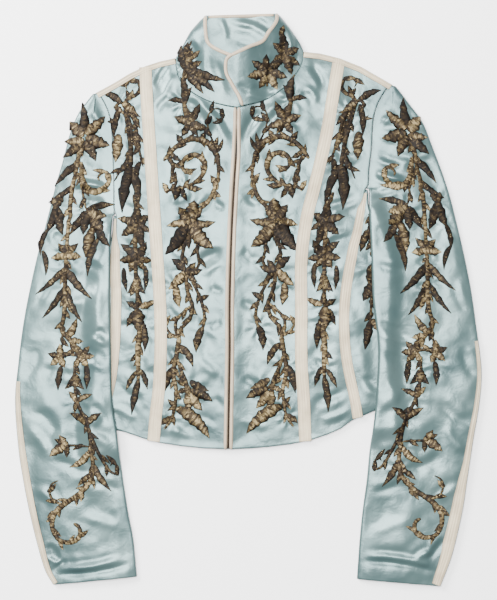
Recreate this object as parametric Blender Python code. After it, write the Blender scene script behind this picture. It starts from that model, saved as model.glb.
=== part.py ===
# Cropped stand-collar blazer of pale satin, laid flat on its back.
# World frame: metres, +Z up, the surface it lies on is z = 0, the collar
# points along +Y and the fronts face up. Sizes below are millimetres.
# R is the wearer's right (-X), L the wearer's left (+X).
#
# Every cloth piece is a wall between an outer and an inner grid of points.
# The back lies on the surface, the fronts lie on the back, each sleeve is a
# flattened tube whose inner edge lies over the side of the body, and the
# collar is an open ring that stands up from the neck seam.

import math

import bpy
import numpy as np


def table(names, *rows):
    # A short table: each named column as an array.
    return dict(zip(names.split(), np.array(rows, float).T))


MILLIMETRE = 0.001

CLOTH = 2.0            # wall of satin with its interlining
TRIM = 1.2             # wall of tapes and bindings
SEAM = 0.4             # gap in plan between two pieces at a seam
PLY = 0.3              # gap between two pieces that lie on each other

BODY_ROWS = 24         # rows of points from hem to shoulder
ARMPIT_ROW = 14        # the row that reaches the underarm
CUFF_ROWS = 18         # rows of points from underarm to cuff

TAPE_HALF = 7.7        # half the tape on the princess seams
SIDE_TAPE_HALF = 6.5   # half the tape on the side seams
SHOULDER_TAPE = 7.0    # width of the shoulder tape that shows
BINDING = 4.4          # width of the bindings at centre front and collar
BACK_BINDING_INSET = 0.3   # share of a cell by which the back collar's binding stops short
CLOSURE_GAP = 2.6      # slot between the two fronts, over the zip
ZIP_TAPE = 1.0         # wall of the zip's tape

AIR = 2.6              # slack between front and back over the body
CLOSURE_RISE = 1.6     # lift of the front edges over the zip's tape
NECK_RISE = 7.0        # lift of the chest towards the neck
COLLAR_RISE = 16.0     # lift of the collar above that
COLLAR_ROUND = 60.0    # how far in from its sides the collar has risen fully
LAP_RISE = 4.3         # lift of the left collar front over the right one and its binding

EDGE_RADIUS = 2.4      # outer radius of the folds at sides and sleeves
SLEEVE_CROWN = 2.4     # how much higher a sleeve is along its middle
SLEEVE_LIFT = 7.4      # how high a sleeve is carried by the side of the body
LIFT_RUN = 22.0        # run over which a sleeve comes down beside the body

FRONT_TOP = CLOTH + PLY + CLOTH
NECK_MIDDLE = (-12.0, 262.0)
COLLAR_MIDDLE = (-10.0, 330.0)

HEM = table("x y",
            (-192, -155), (-162, -160), (-146, -165), (-125, -172), (-109, -176),
            (-84, -180), (-54, -183), (-25, -184), (2, -183), (26, -181), (51, -178),
            (76, -173), (97, -166), (113, -159), (127, -149), (143, -141), (159, -135),
            (177, -128))
SHOULDERS = table("x y",
                  (-186, 256), (-164, 268), (-146, 279), (-127, 288), (-109, 294),
                  (-90, 298), (68, 306), (88, 304), (112, 298), (137, 288), (163, 273),
                  (175, 266))
CENTRE = table("x y",
               (-25, -184), (-24, -123), (-23, -62), (-23, 0), (-21, 74), (-18, 135),
               (-15, 184), (-14, 236))
CENTRE_GAP = table("y gap", (-184, CLOSURE_GAP), (178, CLOSURE_GAP), (214, SEAM), (236, SEAM))
BACK_NECK = table("x y",
                  (-90, 298), (-80, 284), (-54, 274), (-10, 271), (33, 276), (58, 289),
                  (68, 306))

# Each side's curves, from hem to shoulder or from underarm to cuff. The two
# sides differ because the garment is laid down unevenly.
RIGHT = {
    "outward": -1,
    "corner": 0.34,
    "princess": table("x y",
                      (-117, -175), (-114, -141), (-110, -105), (-108, -55), (-109, 0),
                      (-113, 62), (-117, 123), (-121, 184), (-125, 246), (-127, 288)),
    "side": table("x y",
                  (-183, -156), (-175, -123), (-168.5, -92), (-164.5, -50), (-163, 0),
                  (-165, 50), (-164, 80), (-163.2, 104)),
    "edge": table("x y",
                  (-191, -155), (-187, -110), (-183, -62), (-181, 0), (-177, 50),
                  (-168.5, 80), (-166.6, 104)),
    "back_seam": table("x y", (-150, -164), (-152, 0), (-161.5, 104)),
    "armhole": table("x y",
                     (-163.2, 104), (-166, 113), (-166.3, 141), (-167, 166), (-168, 197),
                     (-171, 224), (-177, 241), (-186, 256)),
    "neck": table("x y",
                  (-90, 298), (-88.5, 284), (-84, 270), (-72, 257), (-54, 246), (-35, 240),
                  (-14, 236)),
    "collar_side": table("x y", (-90, 298), (-81, 313.5), (-72, 330), (-60, 344), (-52, 351)),
    "collar_top": table("x y",
                        (-52, 351), (-52, 335), (-49, 316), (-35, 306), (-20, 300), (-6, 297)),
    "collar_edge": table("x y", (-9.4, 236.6), (-8, 270), (-6, 297)),
    "head": table("x y",
                  (-194, 252), (-210, 230), (-221, 203), (-229, 172), (-238, 141),
                  (-245, 113), (-252, 86)),
    "outer": table("x y",
                   (-252, 86), (-261, 53), (-272, 3), (-279, -37), (-284, -78), (-288, -124),
                   (-284, -182), (-278, -222), (-271, -258), (-262, -296), (-251.5, -332),
                   (-241, -351)),
    "inner": table("x y",
                   (-167.4, 104.6), (-169.5, 61), (-170, 0), (-169, -61), (-167.5, -123),
                   (-162, -160), (-157, -203), (-149, -258), (-142, -295), (-137.5, -341)),
    "sleeve_tape": table("y width", (-350, 7), (-300, 9), (-200, 9.5), (-130, 7.5), (-90, 5)),
    "sleeve_tape_top": -92.0,
}
LEFT = {
    "outward": 1,
    "corner": 0.36,
    "princess": table("x y",
                      (70, -174), (68, -123), (65, -74), (65, -12), (65, 49), (71, 98),
                      (80, 135), (89, 172), (97, 209), (104, 252), (112, 298)),
    "side": table("x y",
                  (134.7, -146), (131, -123), (121, -74), (117.5, -30), (120, 12),
                  (128.5, 61), (135.3, 86), (142.4, 123), (144.2, 136)),
    "edge": table("x y",
                  (176, -129), (170, -105), (166, -62), (168, -12), (171, 49), (162, 84),
                  (149.5, 112), (147.6, 136)),
    "back_seam": table("x y", (128, -149), (130, 0), (142, 136)),
    "armhole": table("x y",
                     (144.2, 136), (148, 143), (149, 162), (152, 187), (154, 221),
                     (159, 240), (165, 252), (175, 266)),
    "neck": table("x y",
                  (68, 306), (67, 294), (62, 283), (51, 268), (39, 257), (17, 244), (-14, 236)),
    "collar_side": table("x y",
                         (68, 306), (63, 317), (54.7, 329.6), (48.6, 338), (39, 350), (34, 353.5)),
    "collar_top": table("x y", (34, 353.5), (33, 342), (24, 328), (17, 317), (2, 310), (-20, 299)),
    "collar_edge": table("x y",
                         (-9.4, 236.6), (-14, 248.5), (-19, 257), (-24, 266), (-29, 275.5),
                         (-30, 285), (-28, 294), (-20, 299)),
    "head": table("x y",
                  (184, 261), (199, 241), (215, 219), (227, 189), (238, 160), (247, 133),
                  (252, 115)),
    "outer": table("x y",
                   (252, 115), (264, 65), (274, 16), (281, -32), (287.5, -86), (285, -127),
                   (278, -169), (271, -215), (264, -261), (251.5, -314), (237, -353)),
    "inner": table("x y",
                   (148.9, 136.5), (148.6, 108), (150.7, 61), (153, 0), (159, -49), (159, -86),
                   (155.6, -136), (149.4, -184), (145.8, -221), (140.8, -258), (137, -295),
                   (133.5, -344)),
    "sleeve_tape": table("y width",
                         (-350, 12), (-300, 16), (-245, 14.5), (-200, 9), (-130, 7), (-40, 5)),
    "sleeve_tape_top": -40.0,
}
SIDES = {"R": RIGHT, "L": LEFT}

# The largest folds: a soft ridge (height above 0) or trough (below 0) along
# a line from x1, y1 to x2, y2.
FOLDS = table("x1 y1 x2 y2 width height",
              (-30, 226, -60, 168, 10, -1.6),      # under the collar, right
              (-46, 238, -86, 172, 11, 1.7),
              (0, 228, 34, 172, 10, -1.6),         # under the collar, left
              (26, 238, 66, 180, 11, 1.7),
              (-34, 60, -96, 20, 13, -1.1),        # across the right front
              (-40, -70, -92, -100, 14, 1.0),
              (-8, 92, 50, 60, 13, 1.1),           # across the left front
              (4, -30, 56, -66, 14, -1.0),
              (136, -60, 150, -128, 11, 1.5),      # side of the left hem
              (-176, 206, -200, 232, 9, -1.3),     # right sleeve head
              (-178, 156, -216, 176, 11, 1.2),
              (-176, 12, -232, -20, 13, 1.5),      # right elbow
              (-178, -40, -236, -62, 14, -1.4),
              (-176, -150, -240, -128, 15, 1.0),
              (-160, -262, -232, -240, 14, -0.9),
              (162, 206, 190, 224, 9, -1.3),       # left sleeve head
              (164, 150, 206, 174, 11, 1.3),
              (170, 8, 232, -28, 13, 1.4),         # left elbow
              (172, -52, 240, -70, 14, -1.4),
              (166, -168, 238, -140, 15, 1.1),
              (150, -262, 226, -238, 14, -0.9))

SATIN_COLOUR = (0.47, 0.60, 0.62, 1.0)
IVORY_COLOUR = (0.66, 0.58, 0.50, 1.0)
BEIGE_COLOUR = (0.60, 0.46, 0.34, 1.0)
ZIP_COLOUR = (0.09, 0.06, 0.04, 1.0)


def material(name, colour, roughness, metallic):
    finish = bpy.data.materials.new(name)
    finish.use_nodes = True
    finish.diffuse_color = colour
    shader = finish.node_tree.nodes["Principled BSDF"]
    shader.inputs["Base Color"].default_value = colour
    shader.inputs["Roughness"].default_value = roughness
    shader.inputs["Metallic"].default_value = metallic
    return finish


def grid_triangles(rows, cols):
    # Two triangles for each cell of a grid, all with the same diagonal.
    first = (np.arange(rows - 1)[:, None] * cols + np.arange(cols - 1)).ravel()
    low = np.column_stack([first, first + 1, first + cols + 1])
    high = np.column_stack([first, first + cols + 1, first + cols])
    return np.vstack([low, high])


def rim(rows, cols):
    # The grid's border points in order, round the outer face.
    index = np.arange(rows * cols).reshape(rows, cols)
    return np.concatenate([index[0, :-1], index[:-1, -1], index[-1, :0:-1], index[:0:-1, 0]])


def wall(name, outer, inner, finish):
    # A closed wall between an outer and an inner grid, joined round the rim.
    rows, cols = outer.shape[:2]
    size = rows * cols
    faces = grid_triangles(rows, cols)
    edge = rim(rows, cols)
    after = np.roll(edge, -1)
    sides = np.vstack([np.column_stack([after, edge, edge + size]),
                       np.column_stack([after, edge + size, after + size])])
    faces = np.vstack([faces, faces[:, ::-1] + size, sides])
    points = np.vstack([outer.reshape(-1, 3), inner.reshape(-1, 3)])
    a, b, c = (points[faces[:, k]] for k in range(3))
    if np.einsum("ij,ij->i", a, np.cross(b, c)).sum() < 0:
        faces = faces[:, ::-1]
    mesh = bpy.data.meshes.new(name)
    mesh.from_pydata((points * MILLIMETRE).tolist(), [], faces.tolist())
    mesh.shade_smooth()
    mesh.set_sharp_from_angle(angle=math.radians(40))
    mesh.materials.append(finish)
    piece = bpy.data.objects.new(name, mesh)
    bpy.context.scene.collection.objects.link(piece)
    return piece


def raised(grid, height):
    return grid + np.array([0.0, 0.0, height])


def lying(name, top, thickness, finish):
    # A wall whose inner face is straight below its outer face.
    return wall(name, top, raised(top, -thickness), finish)


def trim_on(name, panel_top, finish):
    # A tape or binding that follows the points of the panel under it.
    return lying(name, raised(panel_top, PLY + TRIM), TRIM, finish)


def dense(rows):
    # A smooth curve through a table's points, twelve steps a span.
    p = np.column_stack([rows["x"], rows["y"]])
    p = np.vstack([2 * p[0] - p[1], p, 2 * p[-1] - p[-2]])
    t = np.linspace(0, 1, 12, endpoint=False)[:, None]
    spans = []
    for a, b, c, d in zip(p[:-3], p[1:-2], p[2:-1], p[3:]):
        linear = (c - a) * t
        square = (2 * a - 5 * b + 4 * c - d) * t ** 2
        cube = (3 * b - a - 3 * c + d) * t ** 3
        spans.append(0.5 * (2 * b + linear + square + cube))
    return np.vstack(spans + [p[-2][None]])


def along(curve, shares):
    # Points at the given shares of a curve's length.
    run = np.concatenate([[0], np.cumsum(np.linalg.norm(np.diff(curve, axis=0), axis=1))])
    at = np.asarray(shares) * run[-1]
    return np.stack([np.interp(at, run, curve[:, 0]), np.interp(at, run, curve[:, 1])], axis=-1)


def length(curve):
    return np.linalg.norm(np.diff(curve, axis=0), axis=1).sum()


def with_last_step(curve, count, step):
    # count steps along a curve, even but for the last, which is step long.
    last = step / length(curve)
    return np.append(np.linspace(0, 1 - last, count), 1.0)


def ease(t):
    t = np.clip(t, 0, 1)
    return t * t * (3 - 2 * t)


def hem_y(x):
    return np.interp(x, HEM["x"], HEM["y"])


def shoulder_y(x):
    return np.interp(x, SHOULDERS["x"], SHOULDERS["y"])


def centre_x(y):
    return np.interp(y, CENTRE["y"], CENTRE["x"])


def outline_x(side, y):
    # Side fold of the body up to the underarm, then the armhole.
    edge = side["edge"]
    arm = side["armhole"]
    ys = np.concatenate([edge["y"], arm["y"][1:]])
    xs = np.concatenate([edge["x"], arm["x"][1:]])
    return np.interp(y, ys, xs)


def collar_side_x(side, y):
    return np.interp(y, side["collar_side"]["y"], side["collar_side"]["x"])


def neck_y(x):
    # Height of the front neck seam along x.
    right = RIGHT["neck"]
    left = LEFT["neck"]
    xs = np.concatenate([right["x"], left["x"][-2::-1]])
    ys = np.concatenate([right["y"], left["y"][-2::-1]])
    return np.interp(x, xs, ys)


def folds(x, y):
    # Sum of the fold table: a rounded ridge round each line, its ends faded.
    total = np.zeros_like(x)
    for x1, y1, x2, y2, width, height in zip(*FOLDS.values()):
        dx = x2 - x1
        dy = y2 - y1
        t = ((x - x1) * dx + (y - y1) * dy) / (dx * dx + dy * dy)
        off = ((y - y1) * dx - (x - x1) * dy) / math.hypot(dx, dy)
        fade = ease((t + 0.15) / 0.4) * ease((1.15 - t) / 0.4)
        total += height * fade * np.exp(-(off / width) ** 2)
    return total


def front_height(x, y):
    # Top of the front layer: the plies, the slack in them, the rise to the
    # neck and the collar, and the folds. It is lowest at the garment's edges.
    inset = np.minimum(x - outline_x(RIGHT, y), outline_x(LEFT, y) - x)
    from_hem = y - hem_y(x)
    slack = AIR * ease(inset / 70) * (0.25 + 0.75 * ease(from_hem / 90))
    slack = slack * ease((shoulder_y(x) - y) / 60)
    over_zip = CLOSURE_RISE * np.exp(-((x - centre_x(y)) / 16) ** 2)
    off_x = (x - NECK_MIDDLE[0]) / 70
    off_y = (y - NECK_MIDDLE[1]) / 75
    neck = NECK_RISE * np.exp(-off_x ** 2 - off_y ** 2)
    collar_inset = np.minimum(x - collar_side_x(RIGHT, y), collar_side_x(LEFT, y) - x)
    rounding = 1 - np.clip(1 - collar_inset / COLLAR_ROUND, 0, 1) ** 2
    above_neck = ease((y - neck_y(x)) / 90)
    collar = COLLAR_RISE * np.sqrt(rounding) * above_neck
    on_body = ease(inset / 30) * ease(from_hem / 30) * (above_neck <= 0)
    rise = slack + over_zip + neck + folds(x, y) * on_body
    return FRONT_TOP + np.maximum(rise, 0) + collar


def on_front(plan):
    # Plan points lifted to the top of the front layer.
    return np.dstack([plan, front_height(plan[..., 0], plan[..., 1])])


def patch(left, right, low, high, across, up):
    # A grid that fills four border curves: left and right are the points at
    # each row, low and high are functions of the share across.
    up = up[:, None, None]
    share = across[..., None]
    sides = (1 - share) * left[:, None] + share * right[:, None]
    ends = (1 - up) * low(across) + up * high(across)
    first = (1 - share) * low(np.zeros(1)) + share * low(np.ones(1))
    last = (1 - share) * high(np.zeros(1)) + share * high(np.ones(1))
    return sides + ends - (1 - up) * first - up * last


def share_at(distance, left, right, low, high, up, from_right=False):
    # The share across, row by row, that lies a distance in from one border.
    step = 0.03
    at = (1 - step, 1) if from_right else (0, step)
    pair = np.tile(np.array(at, float), (len(up), 1))
    near = patch(left, right, low, high, pair, up)
    per_share = np.linalg.norm(near[:, 1] - near[:, 0], axis=1) / step
    return 1 - distance / per_share if from_right else distance / per_share


def hem_between(x1, x2):
    def curve(share):
        x = x1 + (x2 - x1) * share
        return np.stack([x, hem_y(x)], axis=-1)
    return curve


def shoulder_between(x1, x2):
    def curve(share):
        x = x1 + (x2 - x1) * share
        return np.stack([x, shoulder_y(x)], axis=-1)
    return curve


def seam_rows(rows, shares, shift):
    # A seam's points at each row, shifted sideways, its ends on the outline.
    points = along(dense(rows), shares)
    points[:, 0] += shift
    return points


def princess_rows(side, shift):
    curve = dense(side["princess"])
    points = seam_rows(side["princess"], with_last_step(curve, BODY_ROWS, SHOULDER_TAPE), shift)
    points[0, 1] = hem_y(points[0, 0])
    points[-1, 1] = shoulder_y(points[-1, 0])
    return points


def side_rows(side, name, shift):
    points = seam_rows(side[name], np.linspace(0, 1, ARMPIT_ROW + 1), shift)
    points[0, 1] = hem_y(points[0, 0])
    return points


def armhole_rows(side, shift):
    # From the row above the underarm up to the shoulder.
    curve = dense(side["armhole"])
    shares = with_last_step(curve, BODY_ROWS - ARMPIT_ROW, SHOULDER_TAPE)
    points = seam_rows(side["armhole"], shares, shift)
    points[-1, 1] = shoulder_y(points[-1, 0])
    return points[1:]


def centre_rows(side):
    curve = dense(CENTRE)
    points = along(curve, with_last_step(curve, BODY_ROWS, SHOULDER_TAPE))
    gap = np.interp(points[:, 1], CENTRE_GAP["y"], CENTRE_GAP["gap"])
    points[:, 0] += side["outward"] * gap / 2
    points[0, 1] = hem_y(points[0, 0])
    return points


def row_shares():
    return np.append(np.linspace(0, 0.985, BODY_ROWS), 1.0)


def front_plan(side):
    # Front panel from the princess seam (share 0) to centre front (share 1).
    # Its top runs along the shoulder to the neck corner, then down the neck.
    left = princess_rows(side, -side["outward"] * SEAM / 2)
    right = centre_rows(side)
    corner = side["corner"]
    neck = dense(side["neck"])
    neck[-1] = right[-1]
    shoulder = shoulder_between(left[-1, 0], neck[0, 0])

    def high(share):
        on_neck = along(neck, np.clip((share - corner) / (1 - corner), 0, 1))
        on_shoulder = shoulder(np.clip(share / corner, 0, 1))
        return np.where((share < corner)[..., None], on_shoulder, on_neck)

    low = hem_between(left[0, 0], right[0, 0])
    up = row_shares()
    inner = (0.2, corner, 0.45, 0.56, 0.67, 0.78, 0.88)
    across = np.column_stack([np.zeros(len(up)), share_at(TAPE_HALF, left, right, low, high, up)]
                             + [np.full(len(up), share) for share in inner]
                             + [share_at(BINDING, left, right, low, high, up, from_right=True),
                                np.ones(len(up))])
    return patch(left, right, low, high, across, up)


def side_front_plan(side):
    # Side front from the side seam and armhole (share 0) to the princess seam.
    outward = side["outward"]
    left = np.vstack([side_rows(side, "side", -outward * SEAM / 2), armhole_rows(side, 0)])
    right = princess_rows(side, outward * SEAM / 2)
    low = hem_between(left[0, 0], right[0, 0])
    high = shoulder_between(left[-1, 0], right[-1, 0])
    up = row_shares()
    tape = np.interp(np.arange(len(up)), [0, ARMPIT_ROW - 4, ARMPIT_ROW],
                     [SIDE_TAPE_HALF, SIDE_TAPE_HALF, 2.0])
    near = share_at(tape, left, right, low, high, up)
    far = share_at(TAPE_HALF, left, right, low, high, up, from_right=True)
    shares = [near + (far - near) * share for share in (0, 0.34, 0.67, 1)]
    across = np.column_stack([np.zeros(len(up))] + shares + [np.ones(len(up))])
    return patch(left, right, low, high, across, up)


def side_panel_grids(side):
    # Side panel: from the side seam over the fold at the garment's side and
    # back under it to the back seam. Returns its outer and inner grids.
    outward = side["outward"]
    seam = side_rows(side, "side", outward * SEAM / 2)
    edge = side_rows(side, "edge", 0)
    back = side_rows(side, "back_seam", outward * SEAM / 2)
    width = np.linalg.norm(edge - seam, axis=1)
    tape = np.minimum(SIDE_TAPE_HALF, width - EDGE_RADIUS - 0.4)
    turn = [(1 - math.cos(math.radians(a)), math.sin(math.radians(a))) for a in (90, 45, 0)]
    plan = [seam, seam + (edge - seam) * (tape / width)[:, None]]
    height = [front_height(*p.T) for p in plan]
    crest = seam + (edge - seam) * (1 - EDGE_RADIUS / width)[:, None]
    crest_z = np.minimum(front_height(*crest.T) + 0.3, 2 * EDGE_RADIUS + 0.3)
    radius = crest_z / 2
    outer = [np.column_stack([p, z]) for p, z in zip(plan, height)]
    normal = [np.tile([0.0, 0.0, 1.0], (len(seam), 1)) for _ in plan]
    direction = (edge - seam) / width[:, None]
    for angle in (90, 45, 0, -45, -90):
        lift = math.sin(math.radians(angle))
        inset = EDGE_RADIUS * (1 - math.cos(math.radians(angle)))
        point = edge - direction * inset
        outer.append(np.column_stack([point, radius + radius * lift]))
        out = math.cos(math.radians(angle))
        normal.append(np.column_stack([direction * out, np.full(len(seam), lift)]))
    outer.append(np.column_stack([back, np.zeros(len(back))]))
    normal.append(np.tile([0.0, 0.0, -1.0], (len(seam), 1)))
    outer = np.stack(outer, axis=1)
    return outer, outer - np.stack(normal, axis=1) * CLOTH


def back_plan():
    # Back panel, from the right back seam and armhole to the left ones.
    rows = []
    for side in (RIGHT, LEFT):
        seam = side_rows(side, "back_seam", -side["outward"] * SEAM / 2)
        rows.append(np.vstack([seam, armhole_rows(side, 0)]))
    left, right = rows
    first, last = 0.264, 0.70
    neck = dense(BACK_NECK)
    right_shoulder = shoulder_between(left[-1, 0], neck[0, 0])
    left_shoulder = shoulder_between(neck[-1, 0], right[-1, 0])

    def high(share):
        on_right = right_shoulder(np.clip(share / first, 0, 1))
        on_neck = along(neck, np.clip((share - first) / (last - first), 0, 1))
        on_left = left_shoulder(np.clip((share - last) / (1 - last), 0, 1))
        points = np.where((share < first)[..., None], on_right, on_neck)
        return np.where((share > last)[..., None], on_left, points)

    low = hem_between(left[0, 0], right[0, 0])
    up = row_shares()
    shares = (0, 0.09, 0.18, first, 0.33, 0.41, 0.49, 0.57, 0.64, last, 0.80, 0.90, 1)
    across = np.tile(np.array(shares), (len(up), 1))
    return patch(left, right, low, high, across, up)


def towards_collar(points):
    # Points moved half a millimetre towards the middle of the neck.
    off = np.array(COLLAR_MIDDLE) - points
    return points + 0.5 * off / np.linalg.norm(off, axis=1)[:, None]


def collar_plan(bottom, side_curve, top_curve, edge_curve, rows):
    # A collar piece from its side fold (first column) to its front edge. Its
    # bottom has the neck seam's own points.
    cols = len(bottom)
    up = np.append(np.linspace(0, 1, rows)[:-1] * 0.92, [0.92, 1.0])
    run = np.concatenate([[0], np.cumsum(np.linalg.norm(np.diff(bottom, axis=0), axis=1))])
    across = np.tile(run / run[-1], (len(up), 1))
    left = along(side_curve, up)
    right = along(edge_curve, up)
    left[0], right[0] = bottom[0], bottom[-1]

    def low(share):
        at = np.asarray(share) * (cols - 1)
        flat = np.interp(share, run / run[-1], np.arange(cols)) if at.size > 1 else at
        index = np.arange(cols)
        return np.stack([np.interp(flat, index, bottom[:, 0]),
                         np.interp(flat, index, bottom[:, 1])], axis=-1)

    def high(share):
        return along(top_curve, share)

    left[-1], right[-1] = top_curve[0], top_curve[-1]
    return patch(left, right, low, high, across, up)


def sleeve_carry(side, x, y):
    # Height at which the sleeve lies: on the surface, or over the body's side.
    outward = side["outward"]
    edge = side["edge"]
    beyond = (x - np.interp(y, edge["y"], edge["x"])) * outward
    beside = 1 - ease((beyond - 1) / LIFT_RUN)
    armpit = side["inner"]["y"][0]
    below_armpit = np.clip((armpit - y) / 24, 0, 1)
    above_hem = ease((y - (edge["y"][0] - 56)) / 30)
    return SLEEVE_LIFT * beside * below_armpit * above_hem


def sleeve_grids(side):
    # Outer points of the flattened sleeve, row by row from shoulder to cuff
    # and across from the inner edge to the outer one, with their normals.
    # Rows down to the underarm start at the armhole seam, later ones at the
    # sleeve's own inner fold. Returns upper and under points and normals.
    outward = side["outward"]
    armhole = armhole_rows(side, outward * SEAM)[::-1]
    arm_shares = np.linspace(0, 1, CUFF_ROWS + 1)
    inner = np.vstack([armhole, along(dense(side["inner"]), arm_shares)])
    head_curve = dense(side["head"])
    head_shares = 1 - with_last_step(head_curve[::-1], len(armhole), SHOULDER_TAPE)[::-1]
    outer = np.vstack([along(head_curve, head_shares[:-1]),
                       along(dense(side["outer"]), arm_shares)])
    width = np.linalg.norm(outer - inner, axis=1)
    direction = (outer - inner) / width[:, None]
    tape = np.interp(outer[:, 1], side["sleeve_tape"]["y"], side["sleeve_tape"]["width"])
    tape = np.maximum(tape, EDGE_RADIUS + 0.8)
    steps = EDGE_RADIUS * (1 - np.cos(np.radians([0, 45, 90])))
    middle = [EDGE_RADIUS + (width - tape - EDGE_RADIUS) * share for share in (0.2, 0.4, 0.6, 0.8, 1)]
    columns = ([np.full(len(width), step) for step in steps] + middle
               + [width - step for step in steps[::-1]])
    distance = np.column_stack(columns)
    plan = inner[:, None] + direction[:, None] * distance[..., None]
    x, y = plan[..., 0], plan[..., 1]

    share = distance / width[:, None]
    ground = sleeve_carry(side, x, y)
    crown = SLEEVE_CROWN * np.clip(np.sin(math.pi * np.clip(share, 0, 1)), 0, 1) ** 0.8
    nearest = np.minimum(distance, width[:, None] - distance)
    bend = folds(x, y) * ease(nearest / 26)
    thick = 2 * EDGE_RADIUS + np.maximum(crown + bend, 0)
    to_side = np.clip(nearest / EDGE_RADIUS, 0, 1)
    rounding = np.sqrt(1 - (1 - to_side) ** 2)
    middle_z = np.where(share < 0.5, ground[:, :1], ground[:, -1:]) + EDGE_RADIUS
    top = ground + thick
    upper_z = middle_z + PLY / 2 + (top - middle_z - PLY / 2) * rounding
    under_z = middle_z - PLY / 2 - (middle_z - PLY / 2 - ground) * rounding

    open_rows = np.arange(len(width)) < len(armhole)
    near_armhole = open_rows[:, None] & (share < 0.5)
    seam_z = FRONT_TOP + ease(distance / 22) * (thick - FRONT_TOP)
    upper_z = np.where(near_armhole, seam_z, upper_z)
    under_z = np.where(near_armhole, 0.0, under_z)

    grids = []
    for z, sign in ((upper_z, 1), (under_z, -1)):
        points = np.dstack([plan, z])
        normals = surface_normals(points, sign)
        flat = np.zeros_like(normals[:, 0])
        flat[:, :2] = -direction
        normals[:, 0] = np.where(open_rows[:, None], [0.0, 0.0, sign], flat)
        normals[:, -1] = -flat
        grids.append((points, normals))
    return grids


def surface_normals(points, sign):
    # Unit normals of a grid, turned so that z has the given sign.
    down = np.gradient(points, axis=0)
    across = np.gradient(points, axis=1)
    normals = np.cross(across, down)
    normals /= np.linalg.norm(normals, axis=2)[..., None]
    return normals * np.where(normals[..., 2:] * sign < 0, -1, 1)


def build_body(satin):
    # Fronts, side fronts, side panels and back. Returns the top points of the
    # front pieces for what is sewn on them.
    tops = {}
    for tag, side in SIDES.items():
        front = on_front(front_plan(side))
        side_front = on_front(side_front_plan(side))
        panel_outer, panel_inner = side_panel_grids(side)
        lying("front_panel_" + tag, front, CLOTH, satin)
        lying("side_front_" + tag, side_front, CLOTH, satin)
        wall("side_panel_" + tag, panel_outer, panel_inner, satin)
        tops[tag] = {"front": front, "side_front": side_front, "side_panel": panel_outer}
    plan = back_plan()
    back = np.dstack([plan, np.full(plan.shape[:2], CLOTH)])
    lying("back_panel", back, CLOTH, satin)
    return tops, back


def build_sleeves(satin, ivory):
    for tag, side in SIDES.items():
        (upper, up_normals), (under, down_normals) = sleeve_grids(side)
        wall("sleeve_upper_" + tag, upper, upper - up_normals * CLOTH, satin)
        wall("sleeve_under_" + tag, under, under - down_normals * CLOTH, satin)
        first = int(np.argmax(upper[:, -1, 1] < side["sleeve_tape_top"]))
        points = upper[first:, -4:-1]
        normals = up_normals[first:, -4:-1]
        wall("sleeve_tape_" + tag, points + normals * (PLY + TRIM), points + normals * PLY, ivory)


def build_collar(tops, back, satin, beige):
    pieces = {}
    necks = {tag: tops[tag]["front"][-1, 3:, :2] for tag in SIDES}
    over_centre = necks["L"][-2]
    bottoms = {"R": np.vstack([necks["R"], over_centre]), "L": necks["L"][:-1]}
    for tag, side in SIDES.items():
        bottom = towards_collar(bottoms[tag])
        side_curve = dense(side["collar_side"])
        top_curve = dense(side["collar_top"])
        edge_curve = dense(side["collar_edge"])
        plan = collar_plan(bottom, side_curve, top_curve, edge_curve, 7)
        grid = on_front(plan)
        if tag == "L":
            grid[..., 2] += LAP_RISE * (1 - ease((grid[..., 0] + 2) / 26))
        pieces[tag] = grid
        lying("collar_front_" + tag, grid, CLOTH, satin)
    neck = towards_collar(back[-1, 3:10, :2])
    right_side = dense(RIGHT["collar_side"])
    left_side = dense(LEFT["collar_side"])
    top_edge = np.array([right_side[-1], left_side[-1]])
    plan = collar_plan(neck, right_side, top_edge, left_side, 5)
    collar_back = np.dstack([plan, np.full(plan.shape[:2], CLOTH)])
    lying("collar_back", collar_back, CLOTH, satin)
    rim_back = collar_back[-2:].copy()
    rim_back[:, 0] += (rim_back[:, 1] - rim_back[:, 0]) * BACK_BINDING_INSET
    rim_back[:, -1] += (rim_back[:, -2] - rim_back[:, -1]) * BACK_BINDING_INSET
    trim_on("collar_binding_back", rim_back, beige)
    trim_on("collar_binding_R", pieces["R"][-2:], beige)
    return pieces


def build_trims(tops, collars, ivory, beige, zip_finish):
    for tag in SIDES:
        front = tops[tag]["front"]
        side_front = tops[tag]["side_front"]
        side_panel = tops[tag]["side_panel"]
        princess = np.concatenate([side_front[:-1, -2:], front[:-1, :2]], axis=1)
        trim_on("princess_tape_" + tag, princess, ivory)
        side = np.concatenate([side_panel[:, 1::-1], side_front[:ARMPIT_ROW + 1, :2]], axis=1)
        trim_on("side_tape_" + tag, side[:-1], ivory)
        shoulder = np.concatenate([side_front[-2:], front[-2:, :4]], axis=1)
        shoulder[0] += (shoulder[1] - shoulder[0]) * SEAM / SHOULDER_TAPE
        trim_on("shoulder_tape_" + tag, shoulder, ivory)
        trim_on("front_binding_" + tag, front[:, -2:], beige)
    left = collars["L"]
    trim_on("collar_binding_L", left[-2:], beige)
    lap = left[:-1, -2:].copy()
    below = lap[-1] - lap[-2]
    lap[-1] -= below * SEAM / np.linalg.norm(below, axis=1)[:, None]
    trim_on("lap_binding_L", lap, beige)
    zip_rows = slice(0, BODY_ROWS - 1)
    under_fronts = np.stack([tops["R"]["front"][zip_rows, -2], tops["R"]["front"][zip_rows, -1],
                             tops["L"]["front"][zip_rows, -1], tops["L"]["front"][zip_rows, -2]],
                            axis=1)
    lying("zip_tape", raised(under_fronts, -CLOTH - PLY), ZIP_TAPE, zip_finish)


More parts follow.
